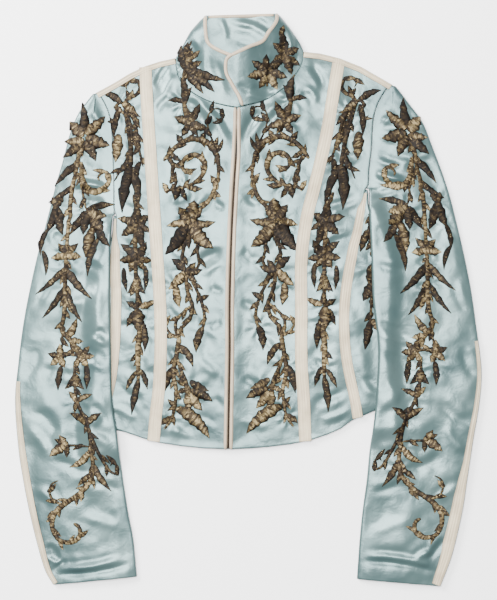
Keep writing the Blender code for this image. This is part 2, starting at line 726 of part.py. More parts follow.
def build():
    for old in list(bpy.data.objects):
        bpy.data.objects.remove(old, do_unlink=True)
    satin = material("satin", SATIN_COLOUR, 0.38, 0.0)
    ivory = material("ivory_tape", IVORY_COLOUR, 0.6, 0.0)
    beige = material("beige_binding", BEIGE_COLOUR, 0.5, 0.0)
    zip_finish = material("zip_tape", ZIP_COLOUR, 0.6, 0.0)
    tops, back = build_body(satin)
    build_sleeves(satin, ivory)
    collars = build_collar(tops, back, satin, beige)
    build_trims(tops, collars, ivory, beige, zip_finish)


build()
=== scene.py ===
# A cropped blazer of pale satin, laid flat on its back: creased shells for
# every panel, ribbed tapes over the seams, rolled bindings, a fine closed metal
# zip, and a garland of leaves and scrolls stitched in brown and gold thread.
# All lengths are millimetres until a mesh is made. x runs to the wearer's left,
# y to the collar, z up from the surface that the blazer lies on.
import math

import bpy
import numpy as np
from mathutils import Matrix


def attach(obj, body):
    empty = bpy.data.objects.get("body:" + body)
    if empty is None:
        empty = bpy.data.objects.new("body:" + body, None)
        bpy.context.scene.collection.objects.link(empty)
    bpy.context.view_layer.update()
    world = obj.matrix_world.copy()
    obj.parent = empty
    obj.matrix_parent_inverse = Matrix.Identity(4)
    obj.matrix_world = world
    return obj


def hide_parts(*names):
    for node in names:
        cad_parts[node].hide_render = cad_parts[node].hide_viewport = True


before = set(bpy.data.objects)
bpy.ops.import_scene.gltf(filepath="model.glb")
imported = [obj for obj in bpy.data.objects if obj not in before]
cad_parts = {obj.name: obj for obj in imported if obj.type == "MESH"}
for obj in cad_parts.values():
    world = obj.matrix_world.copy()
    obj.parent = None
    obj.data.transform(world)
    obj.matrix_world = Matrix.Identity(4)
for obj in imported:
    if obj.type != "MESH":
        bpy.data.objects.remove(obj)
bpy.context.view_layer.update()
mm = 0.001


def columns(names, *lines):
    # A short table: each named column as an array.
    return dict(zip(names.split(), np.array(lines, float).T))


# The blazer's own sizes.
sizes = {
    "cloth": 2.0,          # satin with its interlining, as the solids have it
    "shell": 1.6,          # satin as it is drawn here
    "ply": 0.3,            # gap between two layers
    "seam": 0.4,           # gap in plan between two panels
    "air": 2.6,            # slack between front and back
    "closureRise": 1.6,    # lift of the front edges over the zip
    "neckRise": 7.0,       # lift of the chest towards the neck
    "collarRise": 16.0,    # lift of the collar above that
    "collarRound": 60.0,   # how far in from its sides the collar has risen fully
    "lapRise": 4.3,        # lift of the left collar front over the right one
    "edgeRadius": 2.4,     # radius of the folds at sides and sleeves
    "sleeveCrown": 2.4,    # how much higher a sleeve is along its middle
    "sleeveLift": 7.4,     # how high the body's side carries a sleeve
    "liftRun": 22.0,       # run over which the sleeve comes down again
    "carryPastHem": 56,    # how far below the hem the sleeve is down again
    "armLength": 165,      # the sleeve's borders above the armpit, for its rows
    "lowLength": 450,      # and below it
    "sleeveAcross": 100,
    "sideFrontAcross": 62,
    "backGrid": (76, 54),  # rows and columns of the back
    "step": 2.4,           # spacing of points where the cloth shows
    "hiddenStep": 6.0,     # spacing of points where it doesn't
}
frontLevel = 2 * sizes["cloth"] + sizes["ply"]
# Lengths over which each form comes to its full height.
runs = {
    "slackSide": 70, "slackHem": 90, "slackShoulder": 60,
    "closure": 16, "neckAcross": 70, "neckUp": 75, "collar": 90,
    "foldEdge": 30, "creaseSide": 14, "creaseHem": 9, "besideZip": 9,
    "collarCreaseSide": 6, "collarCreaseNeck": 5, "lap": 26,
    "sleeveFold": 26, "sleeveCrease": 13, "armhole": 5, "armholeIn": 22,
    "carryArmpit": 24, "carryHem": 30,
}
# Shares: slack left at the hem, creases smoothed away over the zip, and how
# high the gathers round the stitching stand in each zone.
shares = {"hemSlack": 0.25, "zipSmooth": 0.75}
pulls = {"body": 0.45, "collar": 0.3, "sleeve": 0.4}
neckMiddle = (-12.0, 262.0)
collarMiddle = (-10.0, 330.0)

hem = columns(
    "x y",
    (-192, -155), (-162, -160), (-146, -165), (-125, -172), (-109, -176), (-84, -180),
    (-54, -183), (-25, -184), (2, -183), (26, -181), (51, -178), (76, -173), (97, -166),
    (113, -159), (127, -149), (143, -141), (159, -135), (177, -128))
shoulders = columns(
    "x y",
    (-186, 256), (-164, 268), (-146, 279), (-127, 288), (-109, 294), (-90, 298), (68, 306),
    (88, 304), (112, 298), (137, 288), (163, 273), (175, 266))
centreFront = columns(
    "x y",
    (-25, -184), (-24, -123), (-23, -62), (-23, 0), (-21, 74), (-18, 135), (-15, 184), (-14, 236))
centreGap = columns("y gap", (-184, 2.6), (178, 2.6), (214, 0.4), (236, 0.4))
backNeck = columns(
    "x y",
    (-90, 298), (-80, 284), (-54, 274), (-10, 271), (33, 276), (58, 289), (68, 306))

right = {
    "outward": -1,
    "princess": columns(
        "x y",
        (-117, -175), (-114, -141), (-110, -105), (-108, -55), (-109, 0), (-113, 62), (-117, 123),
        (-121, 184), (-125, 246), (-127, 288)),
    "side": columns(
        "x y",
        (-183, -156), (-175, -123), (-168.5, -92), (-164.5, -50), (-163, 0), (-165, 50),
        (-164, 80), (-163.2, 104)),
    "edge": columns(
        "x y",
        (-191, -155), (-187, -110), (-183, -62), (-181, 0), (-177, 50), (-168.5, 80),
        (-166.6, 104)),
    "backSeam": columns("x y", (-150, -164), (-152, 0), (-161.5, 104)),
    "armhole": columns(
        "x y",
        (-163.2, 104), (-166, 113), (-166.3, 141), (-167, 166), (-168, 197), (-171, 224),
        (-177, 241), (-186, 256)),
    "neck": columns(
        "x y",
        (-90, 298), (-88.5, 284), (-84, 270), (-72, 257), (-54, 246), (-35, 240), (-14, 236)),
    "collarSide": columns("x y", (-90, 298), (-81, 313.5), (-72, 330), (-60, 344), (-52, 351)),
    "collarTop": columns(
        "x y",
        (-52, 351), (-52, 335), (-49, 316), (-35, 306), (-20, 300), (-6, 297)),
    "collarEdge": columns("x y", (-9.4, 236.6), (-8, 270), (-6, 297)),
    "head": columns(
        "x y",
        (-194, 252), (-210, 230), (-221, 203), (-229, 172), (-238, 141), (-245, 113), (-252, 86)),
    "outer": columns(
        "x y",
        (-252, 86), (-261, 53), (-272, 3), (-279, -37), (-284, -78), (-288, -124), (-284, -182),
        (-278, -222), (-271, -258), (-262, -296), (-251.5, -332), (-241, -351)),
    "inner": columns(
        "x y",
        (-167.4, 104.6), (-169.5, 61), (-170, 0), (-169, -61), (-167.5, -123), (-162, -160),
        (-157, -203), (-149, -258), (-142, -295), (-137.5, -341)),
    "sleeveTape": columns("y width", (-350, 7), (-300, 9), (-200, 9.5), (-130, 7.5), (-90, 5)),
}
left = {
    "outward": 1,
    "princess": columns(
        "x y",
        (70, -174), (68, -123), (65, -74), (65, -12), (65, 49), (71, 98), (80, 135), (89, 172),
        (97, 209), (104, 252), (112, 298)),
    "side": columns(
        "x y",
        (134.7, -146), (131, -123), (121, -74), (117.5, -30), (120, 12), (128.5, 61), (135.3, 86),
        (142.4, 123), (144.2, 136)),
    "edge": columns(
        "x y",
        (176, -129), (170, -105), (166, -62), (168, -12), (171, 49), (162, 84), (149.5, 112),
        (147.6, 136)),
    "backSeam": columns("x y", (128, -149), (130, 0), (142, 136)),
    "armhole": columns(
        "x y",
        (144.2, 136), (148, 143), (149, 162), (152, 187), (154, 221), (159, 240), (165, 252),
        (175, 266)),
    "neck": columns(
        "x y",
        (68, 306), (67, 294), (62, 283), (51, 268), (39, 257), (17, 244), (-14, 236)),
    "collarSide": columns(
        "x y",
        (68, 306), (63, 317), (54.7, 329.6), (48.6, 338), (39, 350), (34, 353.5)),
    "collarTop": columns(
        "x y",
        (34, 353.5), (33, 342), (24, 328), (17, 317), (2, 310), (-20, 299)),
    "collarEdge": columns(
        "x y",
        (-9.4, 236.6), (-14, 248.5), (-19, 257), (-24, 266), (-29, 275.5), (-30, 285), (-28, 294),
        (-20, 299)),
    "head": columns(
        "x y",
        (184, 261), (199, 241), (215, 219), (227, 189), (238, 160), (247, 133), (252, 115)),
    "outer": columns(
        "x y",
        (252, 115), (264, 65), (274, 16), (281, -32), (287.5, -86), (285, -127), (278, -169),
        (271, -215), (264, -261), (251.5, -314), (237, -353)),
    "inner": columns(
        "x y",
        (148.9, 136.5), (148.6, 108), (150.7, 61), (153, 0), (159, -49), (159, -86),
        (155.6, -136), (149.4, -184), (145.8, -221), (140.8, -258), (137, -295), (133.5, -344)),
    "sleeveTape": columns(
        "y width",
        (-350, 12), (-300, 16), (-245, 14.5), (-200, 9), (-130, 7), (-40, 5)),
}
sides = {"R": right, "L": left}

# The largest folds, which the solids have too. A fold or crease runs from one
# point to another with a bow, and has its width and its height, all in mm.
mainFolds = columns(
    "x1 y1 x2 y2 bow width height",
    (-30, 226, -60, 168, 0, 10, -1.6), (-46, 238, -86, 172, 0, 11, 1.7),
    (0, 228, 34, 172, 0, 10, -1.6), (26, 238, 66, 180, 0, 11, 1.7),
    (-34, 60, -96, 20, 0, 13, -1.1), (-40, -70, -92, -100, 0, 14, 1.0),
    (-8, 92, 50, 60, 0, 13, 1.1), (4, -30, 56, -66, 0, 14, -1.0),
    (136, -60, 150, -128, 0, 11, 1.5), (-176, 206, -200, 232, 0, 9, -1.3),
    (-178, 156, -216, 176, 0, 11, 1.2), (-176, 12, -232, -20, 0, 13, 1.5),
    (-178, -40, -236, -62, 0, 14, -1.4), (-176, -150, -240, -128, 0, 15, 1.0),
    (-160, -262, -232, -240, 0, 14, -0.9), (162, 206, 190, 224, 0, 9, -1.3),
    (164, 150, 206, 174, 0, 11, 1.3), (170, 8, 232, -28, 0, 13, 1.4),
    (172, -52, 240, -70, 0, 14, -1.4), (166, -168, 238, -140, 0, 15, 1.1),
    (150, -262, 226, -238, 0, 14, -0.9))

# Smaller creases over the body: troughs below 0, ridges above it.
bodyCreases = columns(
    "x1 y1 x2 y2 bow width height",
    # Under the collar, right.
    (-66, 250, -22, 186, 5, 6, -1.8), (-50, 240, -24, 206, 3, 4, 1.4),
    (-78, 246, -50, 206, 3, 5, 1.0),
    # Under the collar, left.
    (16, 232, -8, 196, -4, 5, -1.8), (34, 240, 8, 206, -4, 5, 1.2),
    (48, 250, 30, 214, -3, 4, -1.0),
    # Beside the shoulder tapes.
    (-114, 262, -98, 288, 2, 4, -1.5), (-104, 252, -92, 276, 1, 4, 1.0),
    (-112, 232, -96, 250, 2, 4, -1.0), (92, 262, 78, 288, -2, 4, -1.5),
    (84, 244, 72, 262, -2, 4, 1.1),
    # Right front.
    (-67, 104, -44, 126, 2, 4.5, -1.2), (-42, 120, -30, 112, 0, 4, -1.3),
    (-96, 120, -72, 128, 1, 4, 0.8), (-60, 44, -34, 61, 2, 5, -1.3),
    (-52, 34, -32, 46, 1, 4, 0.9), (-46, 14, -32, 10, 0, 4, -1.0), (-94, 62, -70, 50, -1, 4, 0.8),
    (-100, -8, -82, -26, -2, 4, -0.9), (-46, -36, -34, -28, 0, 5, -0.9),
    (-60, -74, -36, -92, -2, 5, 0.9), (-98, -58, -84, -76, -1, 4, -0.9),
    (-44, -120, -30, -134, 1, 5, -1.0), (-98, -130, -76, -146, 2, 5, -1.0),
    (-66, -150, -40, -158, 1, 4, 0.8), (-100, -158, -70, -168, 0, 4, 0.8),
    # Left front.
    (14, 118, -2, 128, 1, 5, -1.2), (38, 96, 58, 82, 2, 4, -1.0), (-6, 62, 10, 44, -1, 5, -1.2),
    (4, 48, 22, 34, 1, 4, 0.9), (34, 20, 54, 6, 1, 4, -0.9), (-8, -2, 8, -10, 0, 5, -0.9),
    (14, -44, 30, -60, 1, 4, 0.9), (38, -84, 56, -96, 0, 5, -1.0),
    (-6, -96, 12, -108, 1, 5, -0.9), (20, -130, 50, -142, 2, 5, -1.1),
    (-10, -148, 20, -158, 1, 4, 0.8),
    # Right side front.
    (-150, 214, -136, 196, -1, 4, -1.2), (-158, 168, -138, 158, 1, 4, 0.9),
    (-160, 118, -138, 108, 1, 4, -1.1), (-158, 82, -134, 74, -1, 4, 0.8),
    (-156, 44, -128, 34, 1, 4, -1.1), (-156, 8, -130, -2, 1, 4, 0.9),
    (-158, -32, -130, -26, -1, 4, -1.0), (-160, -76, -132, -66, 1, 4, 0.8),
    (-162, -112, -132, -124, 1, 5, -1.2), (-168, -132, -140, -146, 1, 4, 0.8),
    # Left side front.
    (132, 224, 116, 206, 1, 4, -1.2), (140, 176, 112, 166, -1, 4, 0.9),
    (134, 128, 96, 116, 1, 4, -1.1), (124, 84, 92, 76, -1, 4, 0.8), (112, 44, 82, 36, 1, 4, -1.1),
    (106, 4, 80, -4, 1, 4, 0.9), (106, -34, 80, -28, -1, 4, -1.0), (110, -76, 82, -68, 1, 4, 0.8),
    (118, -112, 84, -124, 1, 5, -1.2), (124, -136, 90, -148, 1, 4, 0.8),
    # Left side panel.
    (150, -30, 164, -60, 2, 5, -1.2), (142, 20, 162, 6, 1, 5, 1.0),
    (144, -96, 166, -112, 1, 4, -1.3), (146, -112, 168, -122, 1, 4, 1.2))

# Creases of the collar's fronts and of the inside of its back.
collarCreases = columns(
    "x1 y1 x2 y2 bow width height",
    (-74, 318, -62, 286, 3, 5, -1.6), (-82, 304, -70, 276, 2, 4, 1.3),
    (-58, 300, -44, 262, -2, 4, 0.9), (-38, 290, -30, 254, 1, 4, -0.9),
    (42, 334, 41, 292, 2, 5, -2.2), (52, 322, 50, 290, 1, 4, 1.4), (8, 262, 34, 250, 2, 5, -1.6),
    (0, 252, 24, 243, 1, 3.5, 1.1), (28, 304, 16, 262, -2, 4, 0.8),
    (-14, 262, 2, 254, 1, 4, -0.9))
backCollarCreases = columns(
    "x1 y1 x2 y2 bow width height",
    (-12, 342, 26, 326, 2, 4, 1.8), (-26, 338, 8, 334, -2, 4, -1.2),
    (-36, 346, -28, 320, 2, 4, 1.3), (-14, 318, 6, 314, 1, 4, -1.0),
    (10, 346, 22, 338, 1, 3, -0.9))

# Creases of the sleeves, placed by the right sleeve and by the left one.
sleeveCreases = columns(
    "x1 y1 x2 y2 bow width height",
    (-183, 250, -170, 224, 2, 4, -1.8), (-178, 216, -190, 232, 1, 4, 1.2),
    (-172, 206, -194, 196, 1, 4, -1.2), (-212, 136, -170, 129, 2, 3.5, -1.9),
    (-214, 144, -172, 137, 2, 4, 1.7), (-206, 122, -172, 118, 1, 4, 1.2),
    (-176, 96, -196, 84, 1, 4, -1.1), (-236, 90, -250, 74, 0, 5, 0.9),
    (-206, 44, -176, 34, 2, 5, -1.0), (-250, 20, -262, -8, 1, 5, -0.9),
    (-186, -36, -172, -46, 1, 4, -1.9), (-194, -48, -172, -56, 1, 4, 1.3),
    (-206, -60, -172, -74, 2, 4, -1.1), (-210, -76, -174, -86, 2, 4, 1.0),
    (-260, -62, -274, -96, 1, 6, -1.1), (-196, -128, -172, -152, 2, 7, -1.5),
    (-262, -136, -236, -164, 3, 7, -1.4), (-270, -158, -248, -192, 3, 6, 1.2),
    (-196, -168, -168, -180, 2, 6, 1.2), (-240, -196, -206, -214, 3, 6, -1.2),
    (-190, -224, -160, -236, 2, 5, -1.1), (-262, -232, -238, -250, 2, 5, 1.0),
    (-206, -268, -160, -280, 2, 6, 0.9), (-246, -302, -236, -322, 2, 3.5, -2.0),
    (-250, -318, -230, -326, 1, 3, 1.5), (-240, -334, -226, -322, 1, 3, -1.6),
    (-232, -338, -150, -326, -3, 3.5, -1.5), (-228, -330, -160, -318, -3, 3.5, 1.1),
    (166, 254, 158, 226, -2, 4, -1.8), (160, 214, 178, 232, -1, 4, 1.3),
    (154, 204, 182, 196, -1, 4, -1.3), (158, 226, 190, 214, -1, 4, 1.0),
    (152, 176, 186, 164, -2, 4, -1.7), (154, 150, 192, 140, -2, 3.5, -1.7),
    (152, 158, 190, 149, -2, 4, 1.5), (152, 122, 184, 132, -1, 4, 1.1),
    (158, 84, 186, 96, -1, 4, -1.1), (238, 96, 252, 70, 0, 5, 0.9),
    (160, 44, 190, 36, -2, 5, -1.0), (252, 18, 266, -16, -1, 5, -0.9),
    (164, -30, 186, -38, -1, 4, -1.7), (166, -44, 196, -52, -1, 4, 1.2),
    (168, -66, 206, -80, -2, 5, -1.1), (262, -60, 276, -96, -1, 6, -1.1),
    (170, -104, 206, -116, -2, 5, 1.0), (162, -140, 194, -122, -2, 7, -1.5),
    (236, -128, 268, -150, -3, 7, -1.4), (244, -158, 266, -186, -3, 6, 1.2),
    (160, -182, 196, -170, -2, 6, 1.2), (200, -206, 236, -192, -3, 6, -1.2),
    (154, -236, 186, -226, -2, 5, -1.1), (232, -244, 256, -228, -2, 5, 1.0),
    (152, -284, 200, -268, -2, 6, 0.9), (220, -318, 240, -296, -1, 4, -1.8),
    (206, -318, 228, -310, 1, 3.5, 1.4), (146, -322, 226, -334, 3, 3.5, -1.5),
    (150, -314, 222, -326, 3, 3.5, 1.1))


def ease(t):
    # 0 to 1 with flat ends.
    t = np.clip(t, 0, 1)
    return t * t * (3 - 2 * t)


def smooth(points):
    # A cubic curve through a table's points, twelve steps a span.
    p = np.column_stack([points["x"], points["y"]])
    p = np.vstack([2 * p[0] - p[1], p, 2 * p[-1] - p[-2]])
    t = np.linspace(0, 1, 12, endpoint=False)[:, None]
    spans = []
    for a, b, c, d in zip(p[:-3], p[1:-2], p[2:-1], p[3:]):
        linear = (c - a) * t
        square = (2 * a - 5 * b + 4 * c - d) * t ** 2
        cube = (3 * b - a - 3 * c + d) * t ** 3
        spans.append(0.5 * (2 * b + linear + square + cube))
    return np.vstack(spans + [p[-2][None]])


def runOf(curve):
    # Distance from the curve's start to each of its points.
    return np.concatenate([[0], np.cumsum(np.linalg.norm(np.diff(curve, axis=0), axis=1))])


def along(curve, parts):
    # Points at the given shares of a curve's length.
    run = runOf(curve)
    at = np.asarray(parts) * run[-1]
    return np.stack([np.interp(at, run, curve[:, k]) for k in range(curve.shape[1])], axis=-1)


def stepsFor(curve, step):
    # Number of points that gives about this spacing.
    return max(int(runOf(curve)[-1] / step) + 1, 4)


def softNoise(x, y, size, seed):
    # Random heights on a square lattice, joined smoothly: -1 to 1.
    lattice = np.random.default_rng(seed).uniform(-1, 1, (64, 64))
    column, row = np.floor(x / size).astype(int), np.floor(y / size).astype(int)
    shareX, shareY = ease(x / size - column), ease(y / size - row)
    low, high = [lattice[column % 64, (row + k) % 64] * (1 - shareX)
                 + lattice[(column + 1) % 64, (row + k) % 64] * shareX for k in (0, 1)]
    return low * (1 - shareY) + high * shareY


# Soft rumples: height, size in mm and seed of each layer of noise.
rumples = {
    "body": ((1.0, 34, 2), (0.9, 18, 3), (0.35, 9, 4)),
    "sleeve": ((1.1, 38, 6), (0.9, 21, 7), (0.35, 10, 8)),
}


def rumpled(small, zone, x, y):
    # Small creases, a quarter higher than their table says, and the noise added.
    small = 1.25 * small
    for height, size, seed in rumples[zone]:
        small = small + height * softNoise(x, y, size, seed)
    return small


def creaseSum(creases, x, y, beside=0.4):
    # Each crease is a rounded ridge or trough round its bowed line, its ends
    # faded, with a lower one of the other sign close beside it.
    total = np.zeros_like(x)
    for x1, y1, x2, y2, bow, width, height in zip(*creases.values()):
        runX, runY = x2 - x1, y2 - y1
        span = math.hypot(runX, runY)
        t = ((x - x1) * runX + (y - y1) * runY) / span ** 2
        near = (t > -0.2) & (t < 1.2)
        off = ((y - y1) * runX - (x - x1) * runY) / span - bow * 4 * t * (1 - t)
        near &= np.abs(off) < 5 * width
        q, part = off[near] / width, t[near]
        fade = ease((part + 0.15) / 0.4) * ease((1.15 - part) / 0.4)
        total[near] += height * fade * (np.exp(-q ** 2) - beside * np.exp(-(q - 1.9) ** 2))
    return total


anchorPoints = {"body": [], "sleeve": [], "collar": []}


def puckers(zone, x, y):
    # Small gathers that fan out from each point where the thread pulls the cloth:
    # a wave in the angle round the point, strongest on a ring about it.
    total = np.zeros_like(x)
    rng = np.random.default_rng(41)
    for anchorX, anchorY in anchorPoints[zone]:
        reach, waves, turn = rng.uniform(8, 14), rng.integers(4, 8), rng.uniform(0, 6.3)
        offX, offY = x - anchorX, y - anchorY
        near = (np.abs(offX) < 3 * reach) & (np.abs(offY) < 3 * reach)
        away = np.hypot(offX[near], offY[near])
        angle = np.arctan2(offY[near], offX[near])
        ring = np.exp(-((away - reach) / (0.55 * reach)) ** 2)
        total[near] += ring * np.cos(waves * angle + turn)
    return pulls[zone] * total


def hemY(x):
    # The hem's y at x, straight between the points of its table.
    return np.interp(x, hem["x"], hem["y"])


def shoulderY(x):
    # The same for both shoulder seams.
    return np.interp(x, shoulders["x"], shoulders["y"])


centreCurve = smooth(centreFront)


def centreX(y):
    # Where centre front lies along y.
    return np.interp(y, centreCurve[:, 1], centreCurve[:, 0])


def seamX(side, name, y):
    # Where a side's curve lies along y.
    curve = smooth(side[name])
    order = np.argsort(curve[:, 1])
    return np.interp(y, curve[order, 1], curve[order, 0])


def outlineX(side, y):
    # Side fold of the body up to the underarm, then the armhole.
    ys = np.concatenate([side["edge"]["y"], side["armhole"]["y"][1:]])
    xs = np.concatenate([side["edge"]["x"], side["armhole"]["x"][1:]])
    return np.interp(y, ys, xs)


def neckY(x):
    # The neck seam's y at x, from the right shoulder to the left one.
    xs = np.concatenate([right["neck"]["x"], left["neck"]["x"][-2::-1]])
    ys = np.concatenate([right["neck"]["y"], left["neck"]["y"][-2::-1]])
    return np.interp(x, xs, ys)


def collarSideX(side, y):
    # The fold at the collar's side along y.
    return np.interp(y, side["collarSide"]["y"], side["collarSide"]["x"])


def frontTop(x, y):
    # Top of the front layer: the plies under it, their slack, the rise to the
    # neck and the collar, the folds, the creases and the pulls of the thread.
    inset = np.minimum(x - outlineX(right, y), outlineX(left, y) - x)
    fromHem = y - hemY(x)
    atHem = shares["hemSlack"]
    fromHemOn = atHem + (1 - atHem) * ease(fromHem / runs["slackHem"])
    slack = sizes["air"] * ease(inset / runs["slackSide"]) * fromHemOn
    slack = slack * ease((shoulderY(x) - y) / runs["slackShoulder"])
    overZip = sizes["closureRise"] * np.exp(-((x - centreX(y)) / runs["closure"]) ** 2)
    neckX = (x - neckMiddle[0]) / runs["neckAcross"]
    neckOff = (y - neckMiddle[1]) / runs["neckUp"]
    neck = sizes["neckRise"] * np.exp(-neckX ** 2 - neckOff ** 2)
    collarInset = np.minimum(x - collarSideX(right, y), collarSideX(left, y) - x)
    rounding = 1 - np.clip(1 - collarInset / sizes["collarRound"], 0, 1) ** 2
    aboveNeck = ease((y - neckY(x)) / runs["collar"])
    rise = sizes["collarRise"] * np.sqrt(rounding) * aboveNeck
    onBody = aboveNeck <= 0
    folds = creaseSum(mainFolds, x, y, 0)
    folds = folds * ease(inset / runs["foldEdge"]) * ease(fromHem / runs["foldEdge"])
    small = creaseSum(bodyCreases, x, y) + puckers("body", x, y)
    small = rumpled(small, "body", x, y)
    smoothed = 1 - shares["zipSmooth"] * np.exp(-((x - centreX(y)) / runs["besideZip"]) ** 2)
    small = small * ease(inset / runs["creaseSide"]) * ease(fromHem / runs["creaseHem"])
    small = small * smoothed
    onCollar = creaseSum(collarCreases, x, y) + 0.35 * softNoise(x, y, 14, 5)
    onCollar += puckers("collar", x, y)
    onCollar = onCollar * ease(collarInset / runs["collarCreaseSide"])
    onCollar = onCollar * ease((y - neckY(x)) / runs["collarCreaseNeck"])
    lift = np.where(onBody, slack + overZip + neck + folds + small,
                    slack + overZip + neck + onCollar)
    return frontLevel + np.maximum(lift, -0.2) + rise


def collarTop(tag, x, y):
    # The left collar front lies over the right one near the lap.
    top = frontTop(x, y)
    if tag == "L":
        top = top + sizes["lapRise"] * (1 - ease((x + 2) / runs["lap"]))
    return top


def nearestOn(curve, x, y):
    # Distance to a curve, and the point of it that is nearest.
    best = np.full(x.shape, 1e9)
    foundX, foundY = np.zeros_like(x), np.zeros_like(x)
    for a, b in zip(curve[:-1], curve[1:]):
        stepX, stepY = b - a
        t = np.clip(((x - a[0]) * stepX + (y - a[1]) * stepY) / (stepX ** 2 + stepY ** 2), 0, 1)
        px, py = a[0] + t * stepX, a[1] + t * stepY
        away = np.hypot(x - px, y - py)
        closer = away < best
        best = np.where(closer, away, best)
        foundX, foundY = np.where(closer, px, foundX), np.where(closer, py, foundY)
    return best, foundX, foundY


def sleeveCurves(side):
    # The sleeve's inner and outer borders from the shoulder to the cuff.
    arm = smooth(side["armhole"])[::-1]
    arm = arm + np.array([side["outward"] * sizes["seam"], 0.0])
    inner = np.vstack([arm, smooth(side["inner"])[1:]])
    outer = np.vstack([smooth(side["head"])[:-1], smooth(side["outer"])])
    return inner[::2], outer[::2]


def sleeveCarry(side, x, y):
    # Height at which the sleeve lies: on the surface, or over the body's side.
    edge = side["edge"]
    beyond = (x - np.interp(y, edge["y"], edge["x"])) * side["outward"]
    beside = 1 - ease((beyond - 1) / sizes["liftRun"])
    belowArmpit = np.clip((side["inner"]["y"][0] - y) / runs["carryArmpit"], 0, 1)
    aboveHem = ease((y - (edge["y"][0] - sizes["carryPastHem"])) / runs["carryHem"])
    return sizes["sleeveLift"] * beside * belowArmpit * aboveHem


def sleeveFaces(side, x, y):
    # Upper and under face of the flattened sleeve: a tube's rolled edges, a low
    # crown between them, its creases, and level with the front at the armhole.
    inner, outer = sleeveCurves(side)
    fromInner, nearX, nearY = nearestOn(inner, x, y)
    fromOuter = nearestOn(outer, x, y)[0]
    share = fromInner / np.maximum(fromInner + fromOuter, 1e-6)
    near = np.minimum(fromInner, fromOuter)
    radius, ply = sizes["edgeRadius"], sizes["ply"]
    ground = sleeveCarry(side, x, y)
    crown = sizes["sleeveCrown"] * np.sin(math.pi * share) ** 0.8
    bend = creaseSum(mainFolds, x, y, 0) * ease(near / runs["sleeveFold"])
    small = creaseSum(sleeveCreases, x, y) + puckers("sleeve", x, y)
    bend += rumpled(small, "sleeve", x, y) * ease(near / runs["sleeveCrease"])
    thick = 2 * radius + np.maximum(crown + bend, -0.2)
    rounding = np.sqrt(1 - (1 - np.clip(near / radius, 0, 1)) ** 2)
    middle = radius + np.where(share < 0.5, sleeveCarry(side, nearX, nearY), 0)
    upper = middle + ply / 2 + (ground + thick - middle - ply / 2) * rounding
    under = middle - ply / 2 - (middle - ply / 2 - ground) * rounding
    atArmhole = ease((nearY - side["inner"]["y"][0]) / runs["armhole"]) * (share < 0.5)
    seamLevel = frontLevel + ease(fromInner / runs["armholeIn"]) * (thick - frontLevel)
    upper = upper + (seamLevel - upper) * atArmhole
    under = under * (1 - atArmhole)
    return upper, under


def patch(leftPoints, rightPoints, low, high, across, up):
    # A grid that fills four border curves: two by their points at each row,
    # two as functions of the share across.
    up = up[:, None, None]
    share = across[None, :, None]
    between = (1 - share) * leftPoints[:, None] + share * rightPoints[:, None]
    ends = (1 - up) * low(across) + up * high(across)
    first = (1 - share) * low(np.zeros(1)) + share * low(np.ones(1))
    last = (1 - share) * high(np.zeros(1)) + share * high(np.ones(1))
    return between + ends - (1 - up) * first - up * last


def turnedIn(plan):
    # The grid with two more rows and columns close to each border.
    def ends(a):
        first = [a[0] + (a[1] - a[0]) * share for share in (0, 0.12, 0.4)]
        last = [a[-1] + (a[-2] - a[-1]) * share for share in (0.4, 0.12, 0)]
        return np.concatenate([first, a[1:-1], last])
    return np.swapaxes(ends(np.swapaxes(ends(plan), 0, 1)), 0, 1)


def onBorder(borderY, x1, x2):
    # A curve on the hem or the shoulders, its x in even shares from x1 to x2.
    def curve(share):
        x = x1 + (x2 - x1) * share
        return np.stack([x, borderY(x)], axis=-1)
    return curve


def seamRows(side, name, parts, shift):
    # A seam's points, shifted sideways, its first one on the hem.
    points = along(smooth(side[name]), parts)
    points[:, 0] += shift
    points[0, 1] = hemY(points[0, 0])
    return points


def frontPlan(side):
    # Front panel between the princess seam and a border that runs up centre
    # front and on along the neck, from the hem to the shoulder.
    outward = side["outward"]
    up = np.linspace(0, 1, stepsFor(smooth(side["princess"]), sizes["step"]))
    seam = seamRows(side, "princess", up, -outward * sizes["seam"] / 2)
    seam[-1, 1] = shoulderY(seam[-1, 0])
    centre = centreCurve.copy()
    centre[:, 0] += outward * np.interp(centre[:, 1], centreGap["y"], centreGap["gap"]) / 2
    border = np.vstack([centre, smooth(side["neck"])[-2::-1]])
    inner = along(border, up)
    meeting = runOf(border)[len(centre) - 1] / runOf(border)[-1]
    inner[np.argmin(np.abs(up - meeting))] = centre[-1]
    inner[0, 1] = hemY(inner[0, 0])
    width = abs(seam[0, 0] - inner[0, 0]) + 20
    across = np.linspace(0, 1, int(width / sizes["step"]))
    return turnedIn(patch(seam, inner, onBorder(hemY, seam[0, 0], inner[0, 0]),
                          onBorder(shoulderY, seam[-1, 0], inner[-1, 0]), across, up))


def sideFrontPlan(side):
    # Side front from the side seam and armhole to the princess seam.
    outward = side["outward"]
    border = np.vstack([smooth(side["side"]), smooth(side["armhole"])[1:]])
    up = np.linspace(0, 1, stepsFor(border, sizes["step"]))
    edge = along(border, up)
    edge[:, 0] -= outward * sizes["seam"] / 2
    edge[0, 1] = hemY(edge[0, 0])
    seam = seamRows(side, "princess", up, outward * sizes["seam"] / 2)
    seam[-1, 1] = shoulderY(seam[-1, 0])
    across = np.linspace(0, 1, int(sizes["sideFrontAcross"] / sizes["step"]))
    return turnedIn(patch(edge, seam, onBorder(hemY, edge[0, 0], seam[0, 0]),
                          onBorder(shoulderY, edge[-1, 0], seam[-1, 0]), across, up))


